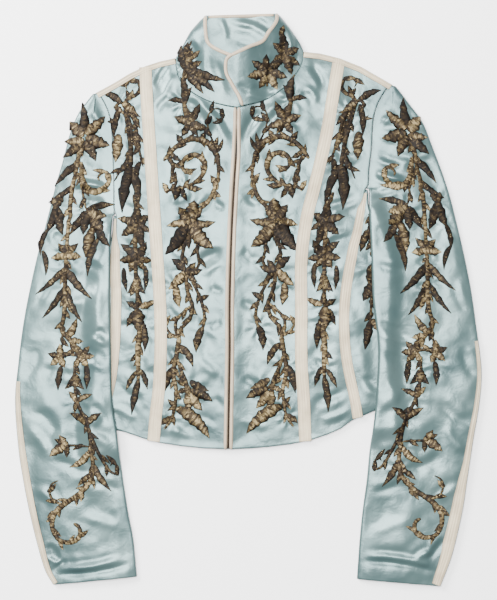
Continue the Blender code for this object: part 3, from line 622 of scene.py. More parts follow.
def backPlan():
    # Back panel, from the right back seam and armhole to the left ones.
    up = np.linspace(0, 1, sizes["backGrid"][0])
    rows = []
    for side in (right, left):
        border = np.vstack([smooth(side["backSeam"]), smooth(side["armhole"])[1:]])
        points = along(border, up)
        points[0, 1] = hemY(points[0, 0])
        rows.append(points)
    # Shares of the upper border at which the neck starts and ends.
    first, last = 0.264, 0.70
    neck = smooth(backNeck)
    onRight = onBorder(shoulderY, rows[0][-1, 0], neck[0, 0])
    onLeft = onBorder(shoulderY, neck[-1, 0], rows[1][-1, 0])

    def high(share):
        middle = along(neck, np.clip((share - first) / (last - first), 0, 1))
        points = np.where((share < first)[..., None],
                          onRight(np.clip(share / first, 0, 1)), middle)
        return np.where((share > last)[..., None],
                        onLeft(np.clip((share - last) / (1 - last), 0, 1)), points)

    across = np.linspace(0, 1, sizes["backGrid"][1])
    clear = np.minimum(np.abs(across - first), np.abs(across - last)) > 0.01
    across = np.sort(np.append(across[clear], [first, last]))
    low = onBorder(hemY, rows[0][0, 0], rows[1][0, 0])
    return turnedIn(patch(rows[0], rows[1], low, high, across, up))


def sidePanelGrid(side):
    # Side panel: from the side seam over the fold at the garment's side, and
    # back under it to the back seam, with its outward normals.
    outward, radius = side["outward"], sizes["edgeRadius"]
    up = np.linspace(0, 1, stepsFor(smooth(side["side"]), 3.0))
    seam = seamRows(side, "side", up, outward * sizes["seam"] / 2)
    edge = seamRows(side, "edge", up, 0)
    back = seamRows(side, "backSeam", up, outward * sizes["seam"] / 2)
    width = np.linalg.norm(edge - seam, axis=1)
    direction = (edge - seam) / width[:, None]
    crest = edge - direction * radius
    crestLevel = np.minimum(frontTop(*crest.T) + 0.3, 2 * radius + 0.3)
    half = crestLevel / 2
    points, normals = [], []
    for share in np.linspace(0, 1, 16)[:-1]:
        plan = seam + (crest - seam) * share
        level = frontTop(*plan.T) * (1 - share ** 3) + crestLevel * share ** 3
        points.append(np.column_stack([plan, level]))
        normals.append(np.tile([0.0, 0.0, 1.0], (len(up), 1)))
    for angle in np.radians(np.linspace(90, -90, 9)):
        plan = edge - direction * radius * (1 - math.cos(angle))
        points.append(np.column_stack([plan, half * (1 + math.sin(angle))]))
        normals.append(np.column_stack([direction * math.cos(angle),
                                        np.full(len(up), math.sin(angle))]))
    bottom = edge - direction * radius
    # Under the fold the panel runs flat to the back seam.
    for share in (0.35, 0.7, 1.0):
        points.append(np.column_stack([bottom + (back - bottom) * share, np.zeros(len(up))]))
        normals.append(np.tile([0.0, 0.0, -1.0], (len(up), 1)))
    return np.stack(points, axis=1), np.stack(normals, axis=1)


def surfaceNormals(points, sign):
    # Unit normals of a grid, turned so that z has the given sign.
    normals = np.cross(np.gradient(points, axis=1), np.gradient(points, axis=0))
    normals /= np.maximum(np.linalg.norm(normals, axis=2), 1e-9)[..., None]
    return normals * np.where(normals[..., 2:] * sign < 0, -1, 1)


def sleeveGrids(side, step):
    # Upper and under grid of the sleeve with their normals. Each row runs from
    # the inner border to the outer one, closer together on the rolled edges.
    armCount, lowCount = int(sizes["armLength"] / step), int(sizes["lowLength"] / step)
    acrossCount = int(sizes["sleeveAcross"] / step)
    arm = along(smooth(side["armhole"])[::-1], np.linspace(0, 1, armCount))
    arm[:, 0] += side["outward"] * sizes["seam"]
    inner = np.vstack([arm[:-1], along(smooth(side["inner"]), np.linspace(0, 1, lowCount))])
    outer = np.vstack([along(smooth(side["head"]), np.linspace(0, 1, armCount))[:-1],
                       along(smooth(side["outer"]), np.linspace(0, 1, lowCount))])
    inner, outer = [np.concatenate([[c[0], c[0] + (c[1] - c[0]) * 0.2], c[1:-1],
                                    [c[-1] + (c[-2] - c[-1]) * 0.35,
                                     c[-1] + (c[-2] - c[-1]) * 0.12, c[-1]]])
                    for c in (inner, outer)]
    width = np.linalg.norm(outer - inner, axis=1)[:, None]
    direction = (outer - inner) / width
    radius = sizes["edgeRadius"]
    roll = radius * (1 - np.cos(np.radians([0, 15, 30, 50, 70, 90])))
    middle = radius + (width - 2 * radius) * np.linspace(0, 1, acrossCount)[None, 1:-1]
    ones = np.ones_like(width)
    distance = np.hstack([ones * roll, middle, width - ones * roll[::-1]])
    plan = inner[:, None] + direction[:, None] * distance[..., None]
    upper, under = sleeveFaces(side, plan[..., 0], plan[..., 1])
    onArm = (np.arange(len(inner)) < armCount)[:, None]
    grids = []
    for level, sign in ((upper, 1), (under, -1)):
        points = np.dstack([plan, level])
        normals = surfaceNormals(points, sign)
        flat = np.column_stack([-direction, np.zeros(len(direction))])
        normals[:, 0] = np.where(onArm, [0.0, 0.0, sign], flat)
        normals[:, -1] = -flat
        grids.append((points, normals))
    return grids


def quadsOf(rows, cols):
    # The cells of a grid of points.
    first = (np.arange(rows - 1)[:, None] * cols + np.arange(cols - 1)).ravel()
    return np.column_stack([first, first + 1, first + cols + 1, first + cols])


def signedVolume(points, faces):
    # Six times the volume within faces: corner dot edge cross edge, summed.
    corner = points[faces[:, 0]]
    total = 0.0
    for k in range(1, faces.shape[1] - 1):
        edges = np.cross(points[faces[:, k]], points[faces[:, k + 1]])
        total += np.einsum("ij,ij->i", corner, edges).sum()
    return total


def makePiece(name, points, faces, finish, uv=None, tone=None, sharp=None):
    # A mesh from its points and its faces, which are turned to face outwards.
    if sum(signedVolume(points, part) for part in faces) < 0:
        faces = [part[:, ::-1] for part in faces]
    mesh = bpy.data.meshes.new(name)
    mesh.from_pydata((points * mm).tolist(), [], [f for part in faces for f in part.tolist()])
    mesh.shade_smooth()
    if sharp:
        mesh.set_sharp_from_angle(angle=math.radians(sharp))
    corner = np.zeros(len(mesh.loops), int)
    mesh.loops.foreach_get("vertex_index", corner)
    if uv is not None:
        layer = mesh.uv_layers.new(name="laid")
        layer.data.foreach_set("uv", (uv * mm)[corner].ravel())
    if tone is not None:
        layer = mesh.attributes.new("tone", "FLOAT", "POINT")
        layer.data.foreach_set("value", tone)
    mesh.materials.append(finish)
    piece = bpy.data.objects.new(name, mesh)
    bpy.context.scene.collection.objects.link(piece)
    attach(piece, "root")
    return piece


def makeShell(name, top, wall, finish, normals=None, uv=None, turned=True, tone=None):
    # A closed wall under a grid of points. Its border is rounded: the two faces
    # come together over the last rows and columns.
    rows, cols = top.shape[:2]
    if normals is None:
        normals = np.zeros_like(top)
        normals[..., 2] = 1.0
    near = [np.minimum(np.arange(n), np.arange(n)[::-1]) for n in (rows, cols)]
    close = np.array([1.0, 0.33, 0.03, 0.0])
    turn = close[np.minimum(near[0], 3)][:, None] * np.ones(cols)
    if turned:
        turn = np.maximum(turn, close[np.minimum(near[1], 3)])
    # The two faces stay a little apart where they meet.
    turn = turn[..., None] * (wall / 2 - 0.06)
    outer = top - normals * turn
    inner = top - normals * (wall - turn)
    points = np.vstack([outer.reshape(-1, 3), inner.reshape(-1, 3)])
    size = rows * cols
    cells = quadsOf(rows, cols)
    index = np.arange(size).reshape(rows, cols)
    edge = np.concatenate([index[0, :-1], index[:-1, -1], index[-1, :0:-1], index[:0:-1, 0]])
    after = np.roll(edge, -1)
    rim = np.column_stack([after, edge, edge + size, after + size])
    faces = np.vstack([cells, cells[:, ::-1] + size, rim])
    if uv is not None:
        uv = np.vstack([uv.reshape(-1, 2)] * 2)
    if tone is not None:
        tone = np.tile(tone.ravel(), 2)
    return makePiece(name, points, [faces], finish, uv=uv, tone=tone)


def ringFaces(rings, size):
    # Side faces and end fans of a closed tube: its rings, then its two poles.
    index = np.arange(rings * size).reshape(rings, size)
    after = np.roll(index, -1, axis=1)
    side = np.stack([index[:-1], after[:-1], after[1:], index[1:]], axis=-1).reshape(-1, 4)
    start, end = rings * size, rings * size + 1
    fans = np.vstack([np.column_stack([after[0], index[0], np.full(size, start)]),
                      np.column_stack([index[-1], after[-1], np.full(size, end)])])
    return side, fans


def squareOff(path):
    # Unit vectors square to a path in plan, and along it.
    step = np.gradient(path[:, :2], axis=0)
    step /= np.maximum(np.linalg.norm(step, axis=1), 1e-9)[:, None]
    return np.column_stack([-step[:, 1], step[:, 0]]), step


binding = {
    "halfWidth": 2.2,
    "halfHeight": 1.5,
    "groove": 0.16,        # depth of its stitched groove as a share of its size
    "sunk": 0.2,           # how far its middle lies below the satin's surface
    "backInset": 2.4,      # how far inside the back collar's ends its binding stops
    "step": 2.5,           # spacing of points along centre front
}


def makeBinding(name, path):
    # A rolled strip along a path: an oval section with a fine groove where its
    # edge is stitched down, closed at both ends.
    halfWidth, halfHeight = binding["halfWidth"], binding["halfHeight"]
    across = squareOff(path)[0]
    angle = np.linspace(0, 2 * math.pi, 18, endpoint=False)
    groove = 1 - binding["groove"] * np.exp(-((angle - math.radians(142)) / 0.16) ** 2)
    count = len(path)
    end = np.minimum(np.arange(count), np.arange(count)[::-1])
    narrow = np.array([0.5, 0.88, 1.0])[np.minimum(end, 2)][:, None]
    side = halfWidth * np.cos(angle) * groove * narrow
    up = halfHeight * np.sin(angle) * groove * narrow
    points = np.repeat(path[:, None], len(angle), axis=1)
    points[..., :2] += across[:, None] * side[..., None]
    points[..., 2] += up
    faces = ringFaces(count, len(angle))
    points = np.vstack([points.reshape(-1, 3), path[0], path[-1]])
    run = np.repeat(runOf(path), len(angle))
    roundRun = np.tile(angle * halfWidth, count)
    uv = np.vstack([np.column_stack([roundRun, run]), [[0, 0], [0, run[-1]]]])
    # Painted shade: the binding is darker in its stitched groove and over the lower part of its
    # roll.
    paintedShade = np.tile((1 - groove) * 4 + 0.8 * (np.sin(angle) < 0.2), count)
    return makePiece(name, points, list(faces), beigeFinish, uv=uv,
                     tone=np.clip(np.append(paintedShade, [0, 0]), 0, 1))


tape = {
    "wall": 1.2,
    "princessHalf": 7.7,
    "sideHalf": 6.5,
    "shoulder": 7.0,
    "step": 3.0,
    "stitchInset": 1.7,    # rows of stitches inside both edges
    "groove": 0.35,        # how deep they draw the tape in
    "rib": 0.22,           # height of its lengthwise ridges
    "stitch": (2.3, 0.42, 0.32),   # length, width and height of one stitch
    "stitchStep": 3.3,
    "ribTurn": 2.1,        # radians of ridge a mm across
    "rolled": 0.9,         # width that the sleeve's fold takes from its tape
}
stitchRuns = []


def makeTape(name, path, halfLeft, halfRight, surface):
    # A ribbon that lies on a surface: a grid square to its path, with two drawn
    # in rows of stitches and soft ridges between them.
    across = squareOff(path)[0]
    share = np.linspace(-1, 1, 19)
    half = np.where(share[None] < 0, halfLeft[:, None], halfRight[:, None])
    offset = half * share
    plan = path[:, None] + across[:, None] * offset[..., None]
    run = np.repeat(runOf(path)[:, None], len(share), axis=1)
    grid = turnedIn(np.dstack([plan, offset, run, half]))
    fromEdge = grid[..., 4] - np.abs(grid[..., 2])
    level = surface(grid[..., 0], grid[..., 1]) + sizes["ply"] + tape["wall"]
    level = level - tape["groove"] * np.exp(-((fromEdge - tape["stitchInset"]) / 0.6) ** 2)
    ridge = np.cos(grid[..., 2] * tape["ribTurn"])
    level = level + tape["rib"] * ridge * ease((fromEdge - 1.2) / 2)
    level = level + 0.12 * softNoise(grid[..., 0], grid[..., 1], 6, 12)
    for sign, width in ((-1, halfLeft), (1, halfRight)):
        line = path + across * (sign * (width - tape["stitchInset"]))[:, None]
        height = surface(line[:, 0], line[:, 1]) + sizes["ply"] + tape["wall"] - 0.25
        stitchRuns.append(np.column_stack([line, height]))
    # Painted shade: the tape is darker at both edges, along its rows of stitches and in the
    # troughs between its ridges.
    paintedShade = 1 - ease(fromEdge / 1.1)
    paintedShade = np.maximum(paintedShade, 0.55 * np.exp(-((fromEdge - tape["stitchInset"]) / 0.55) ** 2))
    paintedShade = np.maximum(paintedShade, 0.22 * ease(-ridge))
    return makeShell(name, np.dstack([grid[..., :2], level]), tape["wall"], ivoryFinish,
                     uv=grid[..., 2:4], tone=paintedShade)


def scatter(name, form, faces, places, headings, scales, finish, slot):
    # Copies of one small form, each turned to its heading in plan and scaled.
    cos, sin = np.cos(headings)[:, None], np.sin(headings)[:, None]
    x, y, z = (form[None, :, k] * scales[:, None, k] for k in range(3))
    points = np.stack([x * cos - y * sin, x * sin + y * cos, z], axis=-1) + places[:, None]
    shift = (np.arange(len(places)) * len(form))[:, None, None]
    parts = [(part[None] + shift).reshape(-1, part.shape[1]) for part in faces]
    return makePiece(name, points.reshape(-1, 3), parts, finish, sharp=45)


def smallDome(size):
    # A low dome with a flat base: three rings and two poles.
    angle = np.linspace(0, 2 * math.pi, size, endpoint=False)
    ring = np.column_stack([np.cos(angle), np.sin(angle), np.zeros(size)])
    levels = [(0.86, -0.25), (1.0, 0.0), (0.72, 0.66)]
    rings = [ring * [radius, radius, 0] + [0, 0, level] for radius, level in levels]
    return np.vstack(rings + [[[0, 0, -0.25]], [[0, 0, 1.0]]]), ringFaces(3, size)


def longBlock():
    # A small block with its upper edges taken in: three rings and two poles.
    corners = np.array([(-1, -1), (1, -1), (1, 1), (-1, 1)], float)
    levels = [(0.96, -1.0), (1.0, 0.2), (0.72, 1.0)]
    rings = [np.column_stack([corners * side, np.full(4, level)]) for side, level in levels]
    return np.vstack(rings + [[[0, 0, -1.0]], [[0, 0, 1.0]]]) * 0.5, ringFaces(3, 4)


def newMaterial(name, colour, roughness, metallic=0.0, **sockets):
    # A material of one colour; other sockets by name, with _ for a space.
    finish = bpy.data.materials.new(name)
    finish.use_nodes = True
    finish.diffuse_color = (*colour, 1.0)
    shader = finish.node_tree.nodes["Principled BSDF"]
    shader.inputs["Base Color"].default_value = (*colour, 1.0)
    shader.inputs["Roughness"].default_value = roughness
    shader.inputs["Metallic"].default_value = metallic
    for socket, value in sockets.items():
        shader.inputs[socket.replace("_", " ")].default_value = value
    return finish, finish.node_tree, shader


def addNode(tree, kind, inputs=None, **settings):
    # A node with its settings, and each input linked or set to a value.
    node = tree.nodes.new("ShaderNode" + kind)
    for key, value in settings.items():
        setattr(node, key, value)
    for key, value in (inputs or {}).items():
        if isinstance(value, bpy.types.NodeSocket):
            tree.links.new(value, node.inputs[key])
        else:
            node.inputs[key].default_value = value
    return node


def addRamp(tree, factor, *stops):
    # A colour ramp with the given (place, colour) stops.
    node = addNode(tree, "ValToRGB", {"Fac": factor})
    ramp = node.color_ramp
    while len(ramp.elements) < len(stops):
        ramp.elements.new(0.5)
    for element, (place, colour) in zip(ramp.elements, stops):
        element.position = place
        element.color = (*colour, 1.0)
    return node.outputs["Color"]


def addBump(tree, height, strength, distance, normal=None):
    # A bump of the given distance in mm over an earlier one.
    inputs = {"Height": height, "Strength": strength, "Distance": distance * mm}
    if normal is not None:
        inputs["Normal"] = normal
    return addNode(tree, "Bump", inputs).outputs["Normal"]


satin = {
    "light": (0.088, 0.138, 0.136),
    "mid": (0.060, 0.103, 0.102),
    "dark": (0.040, 0.074, 0.076),
    "roughness": 0.32,
    "metallic": 0.5,
}


def satinMaterial():
    # Pale blue-grey satin: a soft change of tone, slight rumples, and the long
    # floats of the weave as a fine streak.
    finish, tree, shader = newMaterial("paleSatin", satin["mid"], satin["roughness"],
                                       satin["metallic"], Sheen_Weight=0.05,
                                       Sheen_Roughness=0.4)
    place = addNode(tree, "TexCoord").outputs["Object"]
    cloud = addNode(tree, "TexNoise", {"Vector": place, "Scale": 14.0, "Detail": 3.0})
    tone = addRamp(tree, cloud.outputs["Fac"], (0.3, satin["dark"]), (0.5, satin["mid"]),
                   (0.72, satin["light"]))
    tree.links.new(tone, shader.inputs["Base Color"])
    rumple = addNode(tree, "TexNoise", {"Vector": place, "Scale": 60.0, "Detail": 3.0,
                                        "Distortion": 0.6})
    streak = addNode(tree, "Mapping", {"Vector": place, "Scale": (2600.0, 420.0, 900.0)})
    floats = addNode(tree, "TexNoise", {"Vector": streak.outputs["Vector"], "Scale": 1.0,
                                        "Detail": 2.0})
    normal = addBump(tree, rumple.outputs["Fac"], 0.5, 1.1)
    normal = addBump(tree, floats.outputs["Fac"], 0.25, 0.06, normal)
    tree.links.new(normal, shader.inputs["Normal"])
    return finish


# Sockets of the Mix node that it uses for colours.
mixSockets = {"factor": 0, "first": 6, "second": 7, "result": 2}


def ribbonMaterial(name, light, dark, period, roughness):
    # Ribbed ribbon: ribs square to its length, slight soiling, and painted shade: darker lines
    # where the piece's own tone attribute says, at its edges, in its grooves and between its ribs.
    finish, tree, shader = newMaterial(name, light, roughness, Sheen_Weight=0.3,
                                       Sheen_Roughness=0.5)
    coords = addNode(tree, "TexCoord")
    ribs = addNode(tree, "TexWave", {"Vector": coords.outputs["UV"],
                                     "Scale": 0.314 / (period * mm), "Distortion": 0.6,
                                     "Detail": 1.0}, bands_direction="Y")
    streak = addNode(tree, "Mapping", {"Vector": coords.outputs["UV"],
                                       "Scale": (900.0, 30.0, 1.0)})
    lines = addNode(tree, "TexNoise", {"Vector": streak.outputs["Vector"], "Scale": 1.0,
                                       "Detail": 2.0})
    cloud = addNode(tree, "TexNoise", {"Vector": coords.outputs["Object"], "Scale": 40.0,
                                       "Detail": 3.0})
    both = addNode(tree, "Math", {0: lines.outputs["Fac"], 1: cloud.outputs["Fac"]},
                   operation="MULTIPLY")
    tone = addRamp(tree, both.outputs[0], (0.12, dark), (0.34, light))
    # How much painted shade each point has, from the piece's tone attribute.
    edge = addNode(tree, "Attribute", attribute_name="tone").outputs["Fac"]
    paintedShade = addNode(tree, "Mix", {mixSockets["factor"]: edge, mixSockets["first"]: tone,
                                 mixSockets["second"]: (*[0.45 * part for part in dark], 1.0)},
                   data_type="RGBA")
    tree.links.new(paintedShade.outputs[mixSockets["result"]], shader.inputs["Base Color"])
    normal = addBump(tree, lines.outputs["Fac"], 0.5, 0.25)
    normal = addBump(tree, ribs.outputs["Fac"], 0.35, 0.12, normal)
    tree.links.new(normal, shader.inputs["Normal"])
    return finish


thread = {
    "shadow": (0.0030, 0.0020, 0.0013),
    "brown": (0.0100, 0.0060, 0.0034),
    "bronze": (0.033, 0.022, 0.0105),
    "gold": (0.125, 0.090, 0.040),
    # The lightest colour: pale gold thread, with painted glints.
    "paleGoldAndGlint": (0.36, 0.28, 0.14),
    "bandLength": 1.9,     # mm along a leaf that one bundle of stitches covers
    "ripple": 2.6,         # mm from one raised band to the next
}


def threadMaterial():
    # Thread and flat metal strip laid in bands across each leaf: the piece's own tone, which holds
    # painted light and shade, changed from band to band, with fine strands along each band; its
    # lightest colour adds painted glints.
    finish, tree, shader = newMaterial("brownGoldThread", thread["bronze"], 0.5, 0.4,
                                       Specular_IOR_Level=0.2)
    tone = addNode(tree, "Attribute", attribute_name="tone").outputs["Fac"]
    uv = addNode(tree, "TexCoord").outputs["UV"]
    bandScale = 1 / (thread["bandLength"] * mm)
    stretched = addNode(tree, "Mapping", {"Vector": uv, "Scale": (0.45 * bandScale, bandScale, 1)})
    cells = addNode(tree, "TexVoronoi", {"Vector": stretched.outputs["Vector"], "Scale": 1.0},
                    voronoi_dimensions="2D")
    band = addNode(tree, "SeparateColor", {"Color": cells.outputs["Color"]}).outputs["Red"]
    fine = addNode(tree, "TexNoise", {"Vector": uv, "Scale": 900.0, "Detail": 2.0})
    mixed = addNode(tree, "Math", {0: band, 1: 0.42, 2: tone}, operation="MULTIPLY_ADD")
    mixed = addNode(tree, "Math", {0: fine.outputs["Fac"], 1: 0.3, 2: mixed.outputs[0]},
                    operation="MULTIPLY_ADD")
    strands = addNode(tree, "TexWave", {"Vector": uv, "Scale": 0.314 / (0.9 * mm),
                                        "Distortion": 2.5, "Detail": 2.0},
                      bands_direction="Y")
    mixed = addNode(tree, "Math", {0: strands.outputs["Fac"], 1: 0.3, 2: mixed.outputs[0]},
                    operation="MULTIPLY_ADD")
    mixed = addNode(tree, "Math", {0: mixed.outputs[0], 1: 0.15}, operation="SUBTRACT")
    colour = addRamp(tree, mixed.outputs[0], (0.30, thread["shadow"]), (0.48, thread["brown"]),
                     (0.70, thread["bronze"]), (0.86, thread["gold"]), (1.0, thread["paleGoldAndGlint"]))
    tree.links.new(colour, shader.inputs["Base Color"])
    normal = addBump(tree, strands.outputs["Fac"], 0.7, 0.3)
    normal = addBump(tree, cells.outputs["Distance"], 0.5, 0.3, normal)
    tree.links.new(normal, shader.inputs["Normal"])
    return finish


def metalMaterial(name, light, dark, roughness):
    # Small metal parts: slightly uneven, darker in patches.
    finish, tree, shader = newMaterial(name, light, roughness, 0.9)
    place = addNode(tree, "TexCoord").outputs["Object"]
    patches = addNode(tree, "TexNoise", {"Vector": place, "Scale": 700.0, "Detail": 2.0})
    tone = addRamp(tree, patches.outputs["Fac"], (0.38, dark), (0.62, light))
    tree.links.new(tone, shader.inputs["Base Color"])
    tree.links.new(addBump(tree, patches.outputs["Fac"], 0.3, 0.1), shader.inputs["Normal"])
    return finish


satinFinish = satinMaterial()
ivoryFinish = ribbonMaterial("ivoryTape", (0.50, 0.42, 0.28), (0.34, 0.275, 0.18), 0.9, 0.6)
beigeFinish = ribbonMaterial("beigeBinding", (0.37, 0.29, 0.20), (0.24, 0.18, 0.12), 0.8, 0.55)
zipTapeFinish = ribbonMaterial("zipTape", (0.008, 0.005, 0.003), (0.004, 0.003, 0.002), 0.7, 0.8)
sewingFinish = ribbonMaterial("sewingThread", (0.40, 0.34, 0.24), (0.27, 0.22, 0.15), 0.4, 0.6)
threadFinish = threadMaterial()
beadFinish = metalMaterial("goldBead", (0.26, 0.20, 0.10), (0.08, 0.055, 0.028), 0.3)
teethFinish = metalMaterial("brassTeeth", (0.020, 0.013, 0.007), (0.006, 0.004, 0.003), 0.5)
print("finishes made")


def satinPiece(name, top, normals=None, wall=sizes["shell"]):
    # A satin wall under a grid. Where its normals are given, its long edges are
    # rolled already and only its ends are rounded.
    return makeShell(name + "_satin", top, wall, satinFinish, normals=normals,
                     turned=normals is None)


def bodyPieces():
    # Fronts, side fronts, side panels, back and the trims on them.
    for tag, side in sides.items():
        outward = side["outward"]
        plans = {"front_panel_": frontPlan(side), "side_front_": sideFrontPlan(side)}
        for name, plan in plans.items():
            top = np.dstack([plan, frontTop(plan[..., 0], plan[..., 1])])
            satinPiece(name + tag, top)
            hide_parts(name + tag)
        princess = smooth(side["princess"])
        path = along(princess, np.linspace(0, 1, stepsFor(princess, tape["step"])))
        path[0, 1], path[-1, 1] = hemY(path[0, 0]), shoulderY(path[-1, 0]) - 1
        half = np.full(len(path), tape["princessHalf"])
        princessTape = makeTape("princess_tape_" + tag + "_ribbed", path, half, half, frontTop)
        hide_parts("princess_tape_" + tag)

        seam, edge = smooth(side["side"]), smooth(side["edge"])
        path = along(seam, np.linspace(0, 0.985, stepsFor(seam, tape["step"])))
        path[0, 1] = hemY(path[0, 0])
        share = np.linspace(0, 1, len(path))
        onFront = np.interp(share, [0, 0.72, 1], [tape["sideHalf"], tape["sideHalf"], 2.0])
        room = np.abs(np.interp(path[:, 1], edge[:, 1], edge[:, 0]) - path[:, 0])
        onPanel = np.clip(room - sizes["edgeRadius"] - 0.4, 0.3, tape["sideHalf"])
        halves = (onPanel, onFront) if outward < 0 else (onFront, onPanel)
        sideTape = makeTape("side_tape_" + tag + "_ribbed", path, *halves, frontTop)
        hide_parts("side_tape_" + tag)

        xs = np.linspace(side["armhole"]["x"][-1], side["neck"]["x"][0], 40)
        inset = tape["shoulder"] / 2
        path = np.column_stack([xs, shoulderY(xs) - inset - 0.4])
        half = np.full(len(path), inset)
        shoulderTape = makeTape("shoulder_tape_" + tag + "_ribbed", path, half, half, frontTop)
        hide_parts("shoulder_tape_" + tag)

        centre = along(centreCurve, np.linspace(0, 1, stepsFor(centreCurve, binding["step"])))
        centre[0, 1] = hemY(centre[0, 0])
        gap = np.interp(centre[:, 1], centreGap["y"], centreGap["gap"])
        centre[:, 0] += outward * (gap / 2 + binding["halfWidth"])
        level = frontTop(centre[:, 0], centre[:, 1]) - binding["sunk"]
        frontBinding = makeBinding("front_binding_" + tag + "_rolled",
                                   np.column_stack([centre, level]))
        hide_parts("front_binding_" + tag)

        grid, normals = sidePanelGrid(side)
        panel = satinPiece("side_panel_" + tag, grid, normals)
        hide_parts("side_panel_" + tag)

    plan = backPlan()
    back = np.dstack([plan, np.full(plan.shape[:2], sizes["cloth"])])
    piece = satinPiece("back_panel", back, wall=sizes["cloth"])
    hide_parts("back_panel")


def sleevePieces():
    # Two-piece sleeves, and the tape along their outer seam.
    for tag, side in sides.items():
        grids = [sleeveGrids(side, sizes["step"]), sleeveGrids(side, sizes["hiddenStep"])]
        for name, (top, normals), sign in (("sleeve_upper_", grids[0][0], 1),
                                           ("sleeve_under_", grids[1][1], -1)):
            if sign > 0:
                count = int(np.argmax(top[:, -1, 1] < side["sleeveTape"]["y"][-1] - 2))
                outerEdge = np.array(sleeveCurves(side)[1])
                low = outerEdge[outerEdge[:, 1] < top[count, -1, 1]]
                path = along(low, np.linspace(0, 1, stepsFor(low, tape["step"])))
                width = np.interp(path[:, 1], side["sleeveTape"]["y"],
                                  side["sleeveTape"]["width"])
                across = squareOff(path)[0]
                inwards = -np.sign(across[:, :1]) * side["outward"] * across
                middle = path + inwards * ((width + tape["rolled"]) / 2)[:, None]
                half = (width - tape["rolled"]) / 2
                sleeveTape = makeTape("sleeve_tape_" + tag + "_ribbed", middle, half, half,
                                      sleeveTopOf(side))
                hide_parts("sleeve_tape_" + tag)
            piece = satinPiece(name + tag, top, normals)
            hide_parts(name + tag)


def towardsCollar(points):
    # Points moved half a millimetre towards the middle of the neck.
    off = np.array(collarMiddle) - points
    return points + 0.5 * off / np.linalg.norm(off, axis=1)[:, None]


def collarPlan(bottom, side, top, edge, up, across):
    # A collar piece from its side fold to its front edge, over the neck seam.
    sidePoints, edgePoints = along(side, up), along(edge, up)
    sidePoints[0], edgePoints[0] = bottom[0], bottom[-1]
    sidePoints[-1], edgePoints[-1] = top[0], top[-1]
    return patch(sidePoints, edgePoints, lambda s: along(bottom, s), lambda s: along(top, s),
                 across, up)


collar = {
    "lapShort": 4.4,       # where the left neck seam ends, before centre front
    "front": (44, 50),     # rows and columns of a collar front
    "back": (34, 56),
    "bindingStep": 2.0,
    "topInset": 0.9,       # rows of the grid that a top binding lies inside its edge
    "lapInset": 1.1,       # columns that the lap's binding lies inside its edge
    "backLevel": 2.1,      # height of the back binding's middle
}


def collarPieces():
    # The two fronts of the collar, the inner face of its back, and its bindings.
    lapShare = 1 - collar["lapShort"] / runOf(smooth(left["neck"]))[-1]
    necks = {"R": smooth(right["neck"]), "L": along(smooth(left["neck"]),
                                                    np.linspace(0, lapShare, 60))}
    necks["R"] = np.vstack([necks["R"], necks["L"][-1]])
    up, across = (np.linspace(0, 1, count) for count in collar["front"])
    for tag, side in sides.items():
        bottom = towardsCollar(necks[tag])
        plan = collarPlan(bottom, smooth(side["collarSide"]), smooth(side["collarTop"]),
                          smooth(side["collarEdge"]), up, across)
        grid = turnedIn(plan)
        top = np.dstack([grid, collarTop(tag, grid[..., 0], grid[..., 1])])
        piece = satinPiece("collar_front_" + tag, top)
        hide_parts("collar_front_" + tag)

        rim = plan[-1] + (plan[-2] - plan[-1]) * collar["topInset"]
        rim = along(rim, np.linspace(0, 1, stepsFor(rim, collar["bindingStep"])))
        level = collarTop(tag, rim[:, 0], rim[:, 1]) - binding["sunk"]
        topBinding = makeBinding("collar_binding_" + tag + "_rolled",
                                 np.column_stack([rim, level]))
        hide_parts("collar_binding_" + tag)
        if tag == "L":
            front = plan[:, -1] + (plan[:, -2] - plan[:, -1]) * collar["lapInset"]
            count = stepsFor(front, collar["bindingStep"])
            front = along(front, np.linspace(0, 0.985, count))
            level = collarTop(tag, front[:, 0], front[:, 1]) - binding["sunk"] / 2
            lap = makeBinding("lap_binding_L_rolled", np.column_stack([front, level]))
            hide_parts("lap_binding_L")

    rightSide, leftSide = smooth(right["collarSide"]), smooth(left["collarSide"])
    edge = np.array([rightSide[-1], leftSide[-1]])
    bottom = towardsCollar(smooth(backNeck))
    plan = collarPlan(bottom, rightSide, edge, leftSide,
                      *(np.linspace(0, 1, count) for count in collar["back"]))
    grid = turnedIn(plan)
    inset = np.minimum(grid[..., 0] - collarSideX(right, grid[..., 1]),
                       collarSideX(left, grid[..., 1]) - grid[..., 0])
    wrinkles = creaseSum(backCollarCreases, grid[..., 0], grid[..., 1])
    wrinkles = wrinkles + 0.5 * softNoise(grid[..., 0], grid[..., 1], 12, 9) + 0.8
    level = sizes["cloth"] + np.maximum(wrinkles, 0) * ease(inset / 10) * 0.9
    top = np.dstack([grid, level])
    piece = satinPiece("collar_back", top)
    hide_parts("collar_back")
    xs = np.linspace(edge[0, 0] + binding["backInset"], edge[1, 0] - binding["backInset"], 40)
    ys = np.interp(xs, edge[:, 0], edge[:, 1]) - binding["halfWidth"]
    path = np.column_stack([xs, ys, np.full(len(xs), collar["backLevel"])])
    backBinding = makeBinding("collar_binding_back_rolled", path)
    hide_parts("collar_binding_back")


zipper = {
    "pitch": 1.6,
    "tooth": (2.3, 0.95, 1.3),    # across, along and height of one tooth
    "top": 176.0,
    "stagger": 0.45,              # how far every other tooth stands aside
    "sunk": 0.9,                  # how far the teeth lie below the fronts
    "tapeHalf": 5.6,
    "tapeTop": 211.0,
    "tapeWall": 1.0,
}


